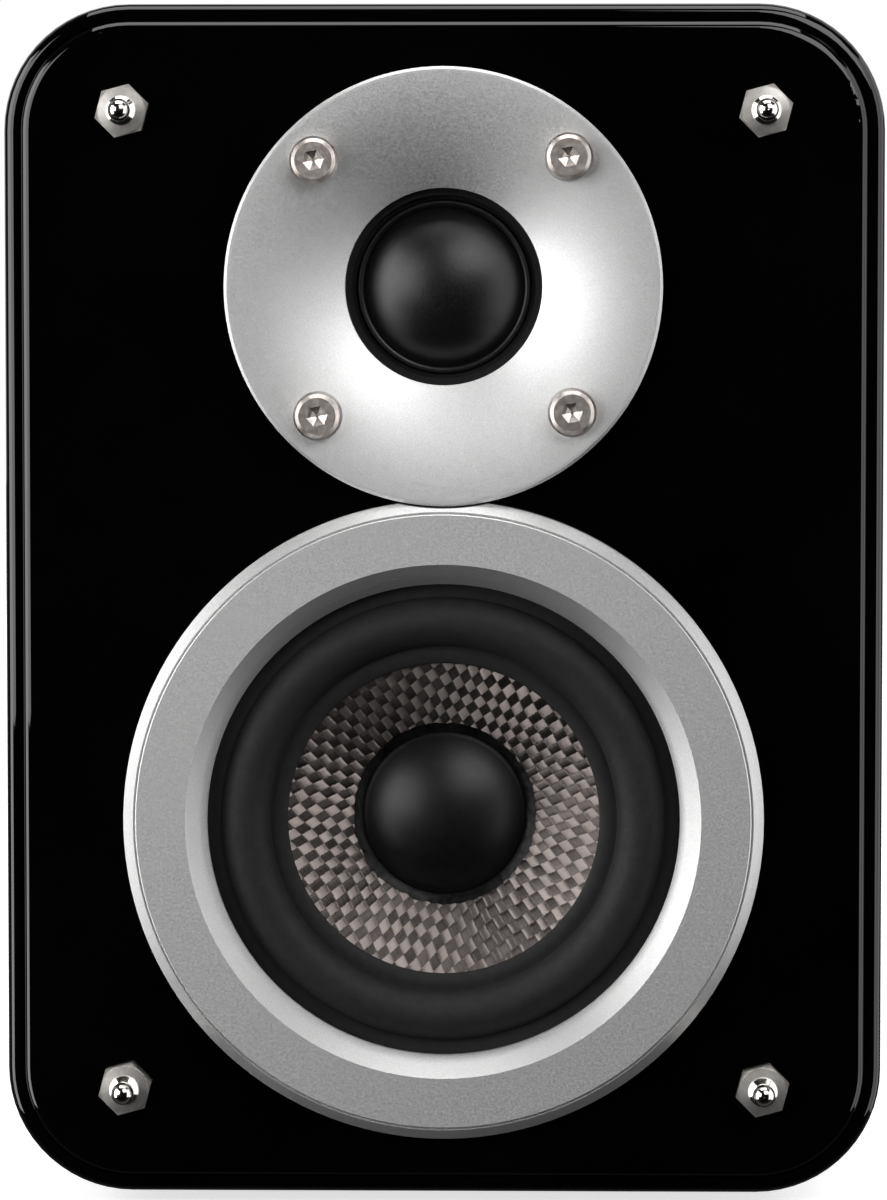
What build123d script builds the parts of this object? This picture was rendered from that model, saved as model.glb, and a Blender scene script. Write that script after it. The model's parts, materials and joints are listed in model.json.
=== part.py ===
from build123d import *
import math
import os

# Compact two-way bookshelf speaker, in millimetres.
# The front faces -Y and +Z is up. The origin is under the middle of the whole object, on the surface
# that its feet stand on. "Forward" is the distance in front of the baffle's face, "depth" the distance
# behind it.

# Cabinet
CABINET_WIDTH = 140
CABINET_HEIGHT = 190
CABINET_DEPTH = 160
CORNER_RADIUS = 20
WALL = 10
RIM_WIDTH = 2.6
RIM_SETBACK = 1.0
RIM_ROUND = 1.9
BACK_ROUND = 1.5
BAFFLE_THICKNESS = 15
BAFFLE_ROUND = 1.8
PANEL_THICKNESS = 9
PANEL_LEDGE = 5
FOOT_RADIUS = 6
FOOT_HEIGHT = 2
FOOT_CHAMFER = 0.4
FOOT_SPACING_X = 80
FOOT_SPACING_Y = 110

# Woofer, with radii and forward distances
WOOFER_HEIGHT = 60.3
RING_RADIUS = 51
RING_BORE = 37.7
RING_BORE_FORWARD = 0.9
RING_FLAT_INNER = 41
RING_FRONT = 4.8
RING_EDGE_FORWARD = 2.4
RING_GROOVE_OUTER = 49.2
RING_GROOVE = 0.25
RING_TO_PLATE_GAP = 0.35
BASKET_FLANGE_RADIUS = 48.5
BASKET_FLANGE = 3
BASKET_FRONT = -1.7
BASKET_BODY_RADIUS = 40.5
BASKET_FOOT_RADIUS = 30
BASKET_FOOT = -30
BASKET_WALL = 1.6
SPIDER_LEVEL = -21
GASKET = 0.6
SURROUND_OUTER = 41.5
ROLL_OUTER = 35.2
ROLL_INNER = 28
SURROUND_INNER = 24.9
RUBBER = 0.7
CONE_NECK = -10.9
CONE_PAPER = 0.5
COIL_FORMER_OUTER = 12.9
COIL_FORMER_INNER = 12.6
COIL_FORMER_END = -39
COIL_OUTER = 13.5
COIL_FRONT = -30
CAP_HEIGHT = 5
GAP_OUTER = 13.9
POLE_RADIUS = 12.3
MOTOR_RADIUS = 33
PLATE_FRONT = -32
PLATE_BACK = -37
MAGNET_BACK = -50
YOKE_BACK = -55
WOOFER_SCREW_CIRCLE = 45
WOOFER_SCREW_RADIUS = 1.7
WOOFER_SCREW_LENGTH = 13.5
WOOFER_SCREW_HOLE = 2

# Tweeter, with radii and forward distances
TWEETER_HEIGHT = 145.2
FACEPLATE_RADIUS = 34.75
FACEPLATE_FRONT = 3.2
FACEPLATE_BACK = 0.4
THROAT_RADIUS = 15.7
THROAT_FRONT = -1.2
SPIGOT_RADIUS = 23.5
SPIGOT_BACK = -3.2
TWEETER_HOLE = 24
TWEETER_SCREW_CIRCLE = 28.5
TWEETER_SCREW_RADIUS = 2
TWEETER_SCREW_LENGTH = 12.5
TWEETER_SCREW_HOLE = 2.2
TWEETER_TURN = 0.8
SCREW_SEAT = 1.8
DOME_RADIUS = 12.7
DOME_BASE = -5.1
DOME_HEIGHT = 5.5
DOME_CLOTH = 0.3
TWEETER_MOTOR_RADIUS = 23
TWEETER_PLATE_FRONT = -5.4
TWEETER_PLATE_BACK = -8.4
TWEETER_MAGNET_BACK = -16.4
TWEETER_YOKE_BACK = -20.4
REAR_CUP_RADIUS = 16
REAR_CUP_BACK = -33

# Grille studs
STUD_SPACING_X = 102
STUD_SPACING_Z = 156
STUD_BALL = 1.8
STUD_BALL_FORWARD = 6
STUD_BAND = 0.3
STUD_NECK = 1.1
STUD_SHANK = 2
STUD_LENGTH = 12

# Back
PORT_HEIGHT = 145
PORT_BORE = 15
PORT_OUTER = 17
PORT_FLANGE = 24
PORT_LENGTH = 60
PORT_PROUD = 2.2
PORT_FLARE = 5.5
TERMINAL_HEIGHT = 48
CUP_FLANGE_WIDTH = 70
CUP_FLANGE_HEIGHT = 56
CUP_FLANGE = 2.5
CUP_GASKET = 0.6
CUP_WIDTH = 56
CUP_HEIGHT = 42
CUP_CORNER = 4
CUP_CLEARANCE = 0.4
CUP_WALL = 2
CUP_FLOOR = 2.4
CUP_RECESS = 16
POST_SPACING = 19
POST_RADIUS = 3
POST_SHANK = 2.5
POST_LENGTH = 18.1
BANANA_RADIUS = 2
BANANA_DEPTH = 14
KNOB_RADIUS = 6
KNOB_START = 3.1
RUNNING_GAP = 0.05

# Crossover
BOARD_WIDTH = 84
BOARD_LENGTH = 66
BOARD_DEPTH = 103
BOARD = 1.6
STANDOFF = 5
BOARD_HOLE_X = 76
BOARD_HOLE_Y = 58
WIRE_RADIUS = 0.8

# Values that follow from the ones above
REAR_REACH = CUP_GASKET + CUP_FLANGE - CUP_RECESS + POST_LENGTH
FRONT_REACH = STUD_BALL_FORWARD + STUD_BAND + STUD_BALL
FACE_Y = (FRONT_REACH - CABINET_DEPTH - REAR_REACH) / 2
MIDDLE_Z = FOOT_HEIGHT + CABINET_HEIGHT / 2
WOOFER_Z = FOOT_HEIGHT + WOOFER_HEIGHT
TWEETER_Z = FOOT_HEIGHT + TWEETER_HEIGHT
PORT_Z = FOOT_HEIGHT + PORT_HEIGHT
TERMINAL_Z = FOOT_HEIGHT + TERMINAL_HEIGHT
FLOOR_Z = FOOT_HEIGHT + WALL
INNER_WIDTH = CABINET_WIDTH - 2 * WALL
INNER_HEIGHT = CABINET_HEIGHT - 2 * WALL
INNER_RADIUS = CORNER_RADIUS - WALL
BAFFLE_WIDTH = CABINET_WIDTH - 2 * RIM_WIDTH
BAFFLE_HEIGHT = CABINET_HEIGHT - 2 * RIM_WIDTH
BAFFLE_CORNER = CORNER_RADIUS - RIM_WIDTH
PANEL_WIDTH = INNER_WIDTH + 2 * PANEL_LEDGE
PANEL_HEIGHT = INNER_HEIGHT + 2 * PANEL_LEDGE
PANEL_CORNER = INNER_RADIUS + PANEL_LEDGE
FLANGE_BACK = BASKET_FRONT - BASKET_FLANGE
REBATE_FLOOR = FLANGE_BACK - GASKET
CUP_FACE_DEPTH = CABINET_DEPTH + CUP_GASKET + CUP_FLANGE
POST_FLOOR_DEPTH = CUP_FACE_DEPTH - CUP_RECESS
CUP_INNER_DEPTH = POST_FLOOR_DEPTH - CUP_FLOOR
BOARD_TOP = FLOOR_Z + STANDOFF + BOARD
POSTS = {"red": POST_SPACING / 2, "black": -POST_SPACING / 2}

os.makedirs("parts", exist_ok=True)


def finish(part, name):
    """Label a finished piece and write it."""
    part.label = name
    export_step(part, f"parts/{name}.step")


def front_plane(x, z, forward=0):
    """A plane that faces forwards: its X is the row's X and its Y is up."""
    return Plane(origin=(x, FACE_Y - forward, z), x_dir=(1, 0, 0), z_dir=(0, -1, 0))


def rear_plane(z, depth):
    """A plane that faces backwards, with Y up."""
    return Plane(origin=(0, FACE_Y + depth, z), x_dir=(-1, 0, 0), z_dir=(0, 1, 0))


def level_plane(z, depth):
    """A level plane whose Y runs towards the back."""
    return Plane(origin=(0, FACE_Y + depth, z), x_dir=(1, 0, 0), z_dir=(0, 0, 1))


def driver_section(z, x=0):
    """Half section of a driver, stud or front screw: X is the radius and Y is forward."""
    return Plane(origin=(x, FACE_Y, z), x_dir=(1, 0, 0), z_dir=(0, 0, -1))


def post_section(x):
    """Half section of a binding post: X is the radius and Y runs back from the cup's floor."""
    foot = (x, FACE_Y + POST_FLOOR_DEPTH, TERMINAL_Z)
    return Plane(origin=foot, x_dir=(1, 0, 0), z_dir=(0, 0, 1))


def turned(section, outline, mode=Mode.ADD):
    """Revolve a closed outline about its section plane's Y axis."""
    with BuildSketch(section) as profile:
        with BuildLine():
            Polyline(*outline, close=True)
        make_face()
    revolve(profile.sketch, axis=Axis(section.origin, section.y_dir), mode=mode)


def ring(section, inner, outer, low, high, mode=Mode.ADD):
    """A plain ring, or a disc where inner is 0."""
    turned(section, [(inner, low), (outer, low), (outer, high), (inner, high)], mode)


def dome_shell(section, radius, low, height, thickness):
    """A thin spherical cap that stands on a circle of the given radius."""
    sphere = (radius**2 + height**2) / (2 * height)
    centre = low + height - sphere
    edge = math.asin(radius / sphere)

    def on_arc(size, angle):
        return (size * math.sin(angle), centre + size * math.cos(angle))

    inside = sphere - thickness
    with BuildSketch(section) as profile:
        with BuildLine():
            ThreePointArc(on_arc(sphere, edge), on_arc(sphere, edge / 2), on_arc(sphere, 0))
            Line(on_arc(sphere, 0), on_arc(inside, 0))
            ThreePointArc(on_arc(inside, 0), on_arc(inside, edge / 2), on_arc(inside, edge))
            Line(on_arc(inside, edge), on_arc(sphere, edge))
        make_face()
    revolve(profile.sketch, axis=Axis(section.origin, section.y_dir))


def drill(plane, places, radius, depth, mode=Mode.SUBTRACT):
    """Round holes, or with Mode.ADD round pegs, that run backwards from a plane's places."""
    with BuildSketch(plane) as holes:
        with Locations(*places):
            Circle(radius)
    extrude(holes.sketch, amount=-depth, mode=mode)


def corners(width, height):
    """The four corners of a rectangle about the origin."""
    return [(x * width / 2, y * height / 2) for x in (-1, 1) for y in (-1, 1)]


def on_circle(radius, count, start):
    """Evenly spaced places on a circle, from a start angle in degrees."""
    angles = [math.radians(start + 360 * i / count) for i in range(count)]
    return [(radius * math.cos(a), radius * math.sin(a)) for a in angles]


def place(x, depth, z):
    """A point from its depth behind the baffle's face."""
    return Vector(x, FACE_Y + depth, z)


def bend_radii(points):
    """The largest arcs that the runs of a wire leave room for."""
    radii = []
    for before, here, after in zip(points, points[1:], points[2:]):
        turn = math.radians((here - before).get_angle(after - here))
        shorter = min((here - before).length, (after - here).length)
        radii.append(0.45 * shorter / math.tan(turn / 2))
    return radii


def wire(points, radius):
    """A round wire along straight runs joined by tangent arcs."""
    radii = bend_radii(points)
    print("wire radii", [round(r, 1) for r in radii])
    with BuildLine() as route:
        FilletPolyline(*points, radius=radii)
    with BuildSketch(Plane(origin=route.line @ 0, z_dir=route.line % 0)) as section:
        Circle(radius)
    sweep(section.sketch, path=route.line)
    length = sum(edge.length for edge in route.edges())
    print("wire length", round(length, 1), "volume", round(math.pi * radius**2 * length, 1))


WOOFER = driver_section(WOOFER_Z)
TWEETER = driver_section(TWEETER_Z)
WOOFER_FRONT = front_plane(0, WOOFER_Z)
TWEETER_FRONT = front_plane(0, TWEETER_Z)
STUD_PLACES = corners(STUD_SPACING_X, STUD_SPACING_Z)
TWEETER_SCREW_PLACES = on_circle(TWEETER_SCREW_CIRCLE, 4, 45 + TWEETER_TURN)
WOOFER_SCREW_PLACES = on_circle(WOOFER_SCREW_CIRCLE, 4, 45)

# ---------------------------------------------------------------- cabinet

BOARD_SCREW_LENGTH = 5
BOARD_SCREW_RADIUS = 1.5
REBATE_CLEARANCE = 0.3
WOOFER_HOLE = BASKET_BODY_RADIUS + 0.5
PILOT_ROOM = 0.5

with BuildPart() as cabinet_shell:
    with BuildSketch(front_plane(0, MIDDLE_Z, -RIM_SETBACK)):
        RectangleRounded(CABINET_WIDTH, CABINET_HEIGHT, CORNER_RADIUS)
    extrude(amount=RIM_SETBACK - CABINET_DEPTH)
    fillet(cabinet_shell.faces().sort_by(Axis.Y)[0].edges(), RIM_ROUND)
    fillet(cabinet_shell.faces().sort_by(Axis.Y)[-1].edges(), BACK_ROUND)
    with BuildSketch(front_plane(0, MIDDLE_Z)):
        RectangleRounded(INNER_WIDTH, INNER_HEIGHT, INNER_RADIUS)
    extrude(amount=-CABINET_DEPTH, mode=Mode.SUBTRACT)
    with BuildSketch(front_plane(0, MIDDLE_Z)):
        RectangleRounded(BAFFLE_WIDTH, BAFFLE_HEIGHT, BAFFLE_CORNER)
    extrude(amount=-BAFFLE_THICKNESS, mode=Mode.SUBTRACT)
    with BuildSketch(rear_plane(MIDDLE_Z, CABINET_DEPTH)):
        RectangleRounded(PANEL_WIDTH, PANEL_HEIGHT, PANEL_CORNER)
    extrude(amount=-PANEL_THICKNESS, mode=Mode.SUBTRACT)
    board_holes = corners(BOARD_HOLE_X, BOARD_HOLE_Y)
    drill(level_plane(FLOOR_Z, BOARD_DEPTH), board_holes, BOARD_SCREW_RADIUS, BOARD_SCREW_LENGTH)
finish(cabinet_shell.part, "cabinet_shell")

with BuildPart() as front_baffle:
    with BuildSketch(front_plane(0, MIDDLE_Z)):
        RectangleRounded(BAFFLE_WIDTH, BAFFLE_HEIGHT, BAFFLE_CORNER)
    extrude(amount=-BAFFLE_THICKNESS)
    fillet(front_baffle.faces().sort_by(Axis.Y)[0].edges(), BAFFLE_ROUND)
    drill(WOOFER_FRONT, [(0, 0)], BASKET_FLANGE_RADIUS + REBATE_CLEARANCE, -REBATE_FLOOR)
    drill(WOOFER_FRONT, [(0, 0)], WOOFER_HOLE, BAFFLE_THICKNESS)
    drill(WOOFER_FRONT, WOOFER_SCREW_PLACES, WOOFER_SCREW_RADIUS, WOOFER_SCREW_LENGTH + PILOT_ROOM)
    drill(TWEETER_FRONT, [(0, 0)], TWEETER_HOLE, BAFFLE_THICKNESS)
    drill(TWEETER_FRONT, TWEETER_SCREW_PLACES, TWEETER_SCREW_RADIUS, TWEETER_SCREW_LENGTH + PILOT_ROOM)
    drill(front_plane(0, MIDDLE_Z), STUD_PLACES, STUD_SHANK, STUD_LENGTH)
finish(front_baffle.part, "front_baffle")

CUP_SCREW_SPACING_X = 61
CUP_SCREW_SPACING_Z = 47
CUP_SCREW_RADIUS = 1.45
CUP_SCREW_HOLE = 1.7
CUP_SCREW_LENGTH = 11
CUP_SCREW_HEAD = 1.6
CUP_SCREW_PLACES = corners(CUP_SCREW_SPACING_X, CUP_SCREW_SPACING_Z)

with BuildPart() as rear_panel:
    with BuildSketch(rear_plane(MIDDLE_Z, CABINET_DEPTH)):
        RectangleRounded(PANEL_WIDTH, PANEL_HEIGHT, PANEL_CORNER)
    extrude(amount=-PANEL_THICKNESS)
    drill(rear_plane(PORT_Z, CABINET_DEPTH), [(0, 0)], PORT_OUTER, PANEL_THICKNESS)
    with BuildSketch(rear_plane(TERMINAL_Z, CABINET_DEPTH)):
        RectangleRounded(CUP_WIDTH + CUP_CLEARANCE, CUP_HEIGHT + CUP_CLEARANCE, CUP_CORNER)
    extrude(amount=-PANEL_THICKNESS, mode=Mode.SUBTRACT)
    cup_pilot = CUP_SCREW_LENGTH - CUP_FLANGE - CUP_GASKET
    drill(rear_plane(TERMINAL_Z, CABINET_DEPTH), CUP_SCREW_PLACES, CUP_SCREW_RADIUS, cup_pilot + 0.1)
finish(rear_panel.part, "rear_panel")

BRACE_DEPTH = 60
BRACE = 9
BRACE_WINDOW_WIDTH = 92
BRACE_WINDOW_HEIGHT = 146
BRACE_WINDOW_CORNER = 12
BRACE_WINDOW_DROP = 2

with BuildPart() as cabinet_brace:
    with BuildSketch(front_plane(0, MIDDLE_Z, -BRACE_DEPTH)):
        RectangleRounded(INNER_WIDTH, INNER_HEIGHT, INNER_RADIUS)
        with Locations((0, -BRACE_WINDOW_DROP)):
            RectangleRounded(
                BRACE_WINDOW_WIDTH, BRACE_WINDOW_HEIGHT, BRACE_WINDOW_CORNER, mode=Mode.SUBTRACT
            )
    extrude(amount=-BRACE)
finish(cabinet_brace.part, "cabinet_brace")

FOAM = 8
FOAM_FRONT_DEPTH = 70
FOAM_LENGTH = 78
FOAM_BOTTOM_Z = 36
FOAM_HEIGHT = 122
FOAM_TOP_WIDTH = 92
FOAM_MIDDLE_Y = FACE_Y + FOAM_FRONT_DEPTH + FOAM_LENGTH / 2
FOAM_SIDE_X = INNER_WIDTH / 2 - FOAM / 2

with BuildPart() as damping_foam:
    foam_side_z = FOAM_BOTTOM_Z + FOAM_HEIGHT / 2
    with Locations((FOAM_SIDE_X, FOAM_MIDDLE_Y, foam_side_z), (-FOAM_SIDE_X, FOAM_MIDDLE_Y, foam_side_z)):
        Box(FOAM, FOAM_LENGTH, FOAM_HEIGHT)
    with Locations((0, FOAM_MIDDLE_Y, FLOOR_Z + INNER_HEIGHT - FOAM / 2)):
        Box(FOAM_TOP_WIDTH, FOAM_LENGTH, FOAM)
finish(damping_foam.part, "damping_foam")

with BuildPart() as rubber_feet:
    with BuildSketch(level_plane(0, CABINET_DEPTH / 2)):
        with Locations(*corners(FOOT_SPACING_X, FOOT_SPACING_Y)):
            Circle(FOOT_RADIUS)
    extrude(amount=FOOT_HEIGHT)
    chamfer(rubber_feet.faces().group_by(Axis.Z)[0].edges(), FOOT_CHAMFER)
finish(rubber_feet.part, "rubber_feet")

# ---------------------------------------------------------------- grille studs

STUD_BASE = 1.6
STUD_HEX = 7.6
STUD_COLLAR = 3.7
BALL_LOW = STUD_BALL_FORWARD - STUD_BAND
BALL_HIGH = STUD_BALL_FORWARD + STUD_BAND
NECK_ANGLE = math.acos(STUD_NECK / STUD_BALL)


def on_ball(centre, angle):
    """A point of the ball's outline, with the angle measured from its widest place."""
    return (STUD_BALL * math.cos(angle), centre + STUD_BALL * math.sin(angle))


with BuildPart() as grille_studs:
    for stud_x, stud_z in STUD_PLACES:
        with BuildSketch(front_plane(stud_x, MIDDLE_Z + stud_z)) as hexagon:
            RegularPolygon(STUD_HEX / 2, 6, major_radius=False, rotation=15)
        extrude(hexagon.sketch, amount=STUD_BASE)
        stud_section = driver_section(MIDDLE_Z + stud_z, stud_x)
        with BuildSketch(stud_section) as stud_profile:
            with BuildLine():
                Polyline(
                    on_ball(BALL_HIGH, math.pi / 2),
                    (0, -STUD_LENGTH),
                    (STUD_SHANK, -STUD_LENGTH),
                    (STUD_SHANK, 0),
                    (STUD_COLLAR, 0),
                    (STUD_COLLAR, STUD_BASE + 0.8),
                    (2.4, STUD_BASE + 1.0),
                    (2.3, STUD_BASE + 1.5),
                    (STUD_NECK, STUD_BASE + 2.4),
                    on_ball(BALL_LOW, -NECK_ANGLE),
                )
                ThreePointArc(
                    on_ball(BALL_LOW, -NECK_ANGLE),
                    on_ball(BALL_LOW, -NECK_ANGLE / 2),
                    on_ball(BALL_LOW, 0),
                )
                Line(on_ball(BALL_LOW, 0), on_ball(BALL_HIGH, 0))
                ThreePointArc(
                    on_ball(BALL_HIGH, 0),
                    on_ball(BALL_HIGH, math.pi / 4),
                    on_ball(BALL_HIGH, math.pi / 2),
                )
            make_face()
        revolve(stud_profile.sketch, axis=Axis(stud_section.origin, stud_section.y_dir))
finish(grille_studs.part, "grille_studs")

# ---------------------------------------------------------------- woofer, fixed pieces

with BuildPart() as woofer_trim_ring:
    turned(
        WOOFER,
        [
            (RING_BORE, 0),
            (RING_RADIUS, 0),
            (RING_RADIUS, RING_EDGE_FORWARD),
            (RING_GROOVE_OUTER + 0.15, RING_FRONT - 0.45),
            (RING_GROOVE_OUTER, RING_FRONT - 0.45),
            (RING_GROOVE_OUTER, RING_FRONT - 0.8),
            (RING_GROOVE_OUTER - RING_GROOVE, RING_FRONT - 0.8),
            (RING_GROOVE_OUTER - RING_GROOVE, RING_FRONT - 0.15),
            (RING_GROOVE_OUTER - RING_GROOVE - 0.15, RING_FRONT),
            (RING_FLAT_INNER, RING_FRONT),
            (RING_BORE, RING_BORE_FORWARD),
        ],
    )
    notch = front_plane(0, TWEETER_Z, RING_FRONT + 1)
    drill(notch, [(0, 0)], FACEPLATE_RADIUS + RING_TO_PLATE_GAP, RING_FRONT + 1)
finish(woofer_trim_ring.part, "woofer_trim_ring")

with BuildPart() as woofer_gasket:
    ring(WOOFER, BASKET_BODY_RADIUS + 0.7, BASKET_FLANGE_RADIUS, REBATE_FLOOR, FLANGE_BACK)
    drill(WOOFER_FRONT, WOOFER_SCREW_PLACES, WOOFER_SCREW_HOLE, WOOFER_SCREW_LENGTH)
finish(woofer_gasket.part, "woofer_gasket")

LUG_WIDTH = 10
LUG_TIP = 40
LUG_ROOT = 27
WINDOW_COUNT = 6
WINDOW_CIRCLE = 37
WINDOW_REACH = 17
UPPER_WINDOWS = (-9.5, 26, 10)
LOWER_WINDOWS = (-24, 20, 5.5)
SPIDER_SEAT = 28.5
BASKET_LIP = 36
BASKET_SHOULDER = -8
BASKET_HEEL = -28
BASKET_EYE = 17

with BuildPart() as woofer_basket:
    turned(
        WOOFER,
        [
            (BASKET_LIP, BASKET_FRONT),
            (BASKET_FLANGE_RADIUS, BASKET_FRONT),
            (BASKET_FLANGE_RADIUS, FLANGE_BACK),
            (BASKET_BODY_RADIUS, FLANGE_BACK),
            (BASKET_BODY_RADIUS, BASKET_SHOULDER),
            (BASKET_FOOT_RADIUS, BASKET_HEEL),
            (BASKET_FOOT_RADIUS, PLATE_FRONT),
            (BASKET_EYE, PLATE_FRONT),
            (BASKET_EYE, BASKET_FOOT),
            (BASKET_FOOT_RADIUS - BASKET_WALL, BASKET_FOOT),
            (BASKET_FOOT_RADIUS - BASKET_WALL, BASKET_HEEL),
            (BASKET_BODY_RADIUS - BASKET_WALL, BASKET_SHOULDER - 0.5),
            (BASKET_BODY_RADIUS - BASKET_WALL, FLANGE_BACK),
            (BASKET_LIP, FLANGE_BACK),
        ],
    )
    ring(WOOFER, SPIDER_SEAT, 32.9, SPIDER_LEVEL - 1.5, SPIDER_LEVEL)
    for window_front, window_width, window_depth in (UPPER_WINDOWS, LOWER_WINDOWS):
        with BuildSketch(front_plane(0, WOOFER_Z, window_front)) as windows:
            with PolarLocations(WINDOW_CIRCLE, WINDOW_COUNT, start_angle=30):
                Rectangle(WINDOW_REACH, window_width)
        extrude(windows.sketch, amount=-window_depth, mode=Mode.SUBTRACT)
    with BuildSketch(front_plane(0, WOOFER_Z - (LUG_TIP + LUG_ROOT) / 2, BASKET_FOOT)) as lug:
        Rectangle(LUG_WIDTH, LUG_TIP - LUG_ROOT)
    extrude(lug.sketch, amount=PLATE_FRONT - BASKET_FOOT)
    drill(WOOFER_FRONT, WOOFER_SCREW_PLACES, WOOFER_SCREW_HOLE, WOOFER_SCREW_LENGTH)
finish(woofer_basket.part, "woofer_basket")

SCREW_HEAD_RADIUS = 3.1
SCREW_HEAD = 1.4
CROSS_SLOT = 0.7

with BuildPart() as woofer_screws:
    for screw_x, screw_z in WOOFER_SCREW_PLACES:
        screw_section = driver_section(WOOFER_Z + screw_z, screw_x)
        ring(screw_section, 0, WOOFER_SCREW_RADIUS, -WOOFER_SCREW_LENGTH, BASKET_FRONT)
        ring(screw_section, 0, SCREW_HEAD_RADIUS, BASKET_FRONT, BASKET_FRONT + SCREW_HEAD)
    for slot_turn in (45, 135):
        screw_faces = front_plane(0, WOOFER_Z, BASKET_FRONT + SCREW_HEAD)
        with BuildSketch(screw_faces) as cross:
            with Locations(*WOOFER_SCREW_PLACES):
                Rectangle(3.6, CROSS_SLOT, rotation=slot_turn)
        extrude(cross.sketch, amount=-0.9, mode=Mode.SUBTRACT)
finish(woofer_screws.part, "woofer_screws")

with BuildPart() as woofer_top_plate:
    ring(WOOFER, GAP_OUTER, MOTOR_RADIUS, PLATE_BACK, PLATE_FRONT)
finish(woofer_top_plate.part, "woofer_top_plate")

MAGNET_BORE = 16
VENT_RADIUS = 3

with BuildPart() as woofer_magnet:
    ring(WOOFER, MAGNET_BORE, MOTOR_RADIUS, MAGNET_BACK, PLATE_BACK)
finish(woofer_magnet.part, "woofer_magnet")

with BuildPart() as woofer_yoke:
    ring(WOOFER, VENT_RADIUS, POLE_RADIUS, MAGNET_BACK, PLATE_FRONT)
    ring(WOOFER, VENT_RADIUS, MOTOR_RADIUS, YOKE_BACK, MAGNET_BACK)
finish(woofer_yoke.part, "woofer_yoke")

STRIP_WIDTH = 18
STRIP = 1.6
STRIP_LENGTH = 8.5

with BuildPart() as woofer_terminal_strip:
    with BuildSketch(front_plane(0, WOOFER_Z - LUG_TIP + STRIP_LENGTH / 2, BASKET_FOOT)):
        Rectangle(STRIP_WIDTH, STRIP_LENGTH)
    extrude(amount=STRIP)
finish(woofer_terminal_strip.part, "woofer_terminal_strip")

# ---------------------------------------------------------------- woofer, moving pieces

ROLL_CENTRE = (ROLL_OUTER + ROLL_INNER) / 2
ROLL_RADIUS = (ROLL_OUTER - ROLL_INNER) / 2
SURROUND_FRONT = BASKET_FRONT + RUBBER
ROLL_LEVEL = BASKET_FRONT + RUBBER / 2
ROLL_TOP = ROLL_RADIUS + RUBBER / 2
ROLL_UNDER = ROLL_RADIUS - RUBBER / 2
ROLL_TOP_HALF = math.sqrt(ROLL_TOP**2 - (RUBBER / 2) ** 2)
ROLL_UNDER_HALF = math.sqrt(ROLL_UNDER**2 - (RUBBER / 2) ** 2)

with BuildPart() as woofer_surround:
    with BuildSketch(WOOFER):
        with BuildLine():
            Polyline(
                (ROLL_CENTRE + ROLL_TOP_HALF, SURROUND_FRONT),
                (SURROUND_OUTER, SURROUND_FRONT),
                (SURROUND_OUTER, BASKET_FRONT),
                (ROLL_CENTRE + ROLL_UNDER_HALF, BASKET_FRONT),
            )
            ThreePointArc(
                (ROLL_CENTRE + ROLL_UNDER_HALF, BASKET_FRONT),
                (ROLL_CENTRE, ROLL_LEVEL + ROLL_UNDER),
                (ROLL_CENTRE - ROLL_UNDER_HALF, BASKET_FRONT),
            )
            Polyline(
                (ROLL_CENTRE - ROLL_UNDER_HALF, BASKET_FRONT),
                (SURROUND_INNER, BASKET_FRONT),
                (SURROUND_INNER, SURROUND_FRONT),
                (ROLL_CENTRE - ROLL_TOP_HALF, SURROUND_FRONT),
            )
            ThreePointArc(
                (ROLL_CENTRE - ROLL_TOP_HALF, SURROUND_FRONT),
                (ROLL_CENTRE, ROLL_LEVEL + ROLL_TOP),
                (ROLL_CENTRE + ROLL_TOP_HALF, SURROUND_FRONT),
            )
        make_face()
    revolve(axis=Axis(WOOFER.origin, WOOFER.y_dir))
finish(woofer_surround.part, "woofer_surround")

CONE_SLOPE = (BASKET_FRONT - CONE_NECK) / (SURROUND_INNER - COIL_FORMER_OUTER)

with BuildPart() as woofer_cone:
    turned(
        WOOFER,
        [
            (COIL_FORMER_OUTER, CONE_NECK),
            (SURROUND_INNER, BASKET_FRONT),
            (ROLL_INNER, BASKET_FRONT),
            (ROLL_INNER, BASKET_FRONT - CONE_PAPER),
            (SURROUND_INNER + 0.2, BASKET_FRONT - CONE_PAPER),
            (COIL_FORMER_OUTER, CONE_NECK - 1.25 * CONE_PAPER),
        ],
    )
finish(woofer_cone.part, "woofer_cone")

GLUE_OUTER = 14.8
CAP_RADIUS = 12.6

with BuildPart() as woofer_dust_cap:
    dome_shell(WOOFER, CAP_RADIUS, CONE_NECK + 0.4, CAP_HEIGHT, CONE_PAPER)
    turned(
        WOOFER,
        [
            (CAP_RADIUS - 0.7, CONE_NECK + 0.05),
            (COIL_FORMER_OUTER, CONE_NECK + 0.05),
            (GLUE_OUTER, CONE_NECK + 0.05 + CONE_SLOPE * (GLUE_OUTER - COIL_FORMER_OUTER)),
            (GLUE_OUTER - 0.2, CONE_NECK + 0.3 + CONE_SLOPE * (GLUE_OUTER - COIL_FORMER_OUTER)),
            (CAP_RADIUS, CONE_NECK + 0.65),
            (CAP_RADIUS - 0.7, CONE_NECK + 0.65),
        ],
    )
finish(woofer_dust_cap.part, "woofer_dust_cap")

with BuildPart() as woofer_coil_former:
    ring(WOOFER, COIL_FORMER_INNER, COIL_FORMER_OUTER, COIL_FORMER_END, CONE_NECK)
finish(woofer_coil_former.part, "woofer_coil_former")

with BuildPart() as woofer_voice_coil:
    ring(WOOFER, COIL_FORMER_OUTER, COIL_OUTER, COIL_FORMER_END, COIL_FRONT)
finish(woofer_voice_coil.part, "woofer_voice_coil")

SPIDER_WAVES = 5
SPIDER_WAVE_HEIGHT = 0.8
SPIDER_CLOTH = 0.4

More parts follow.
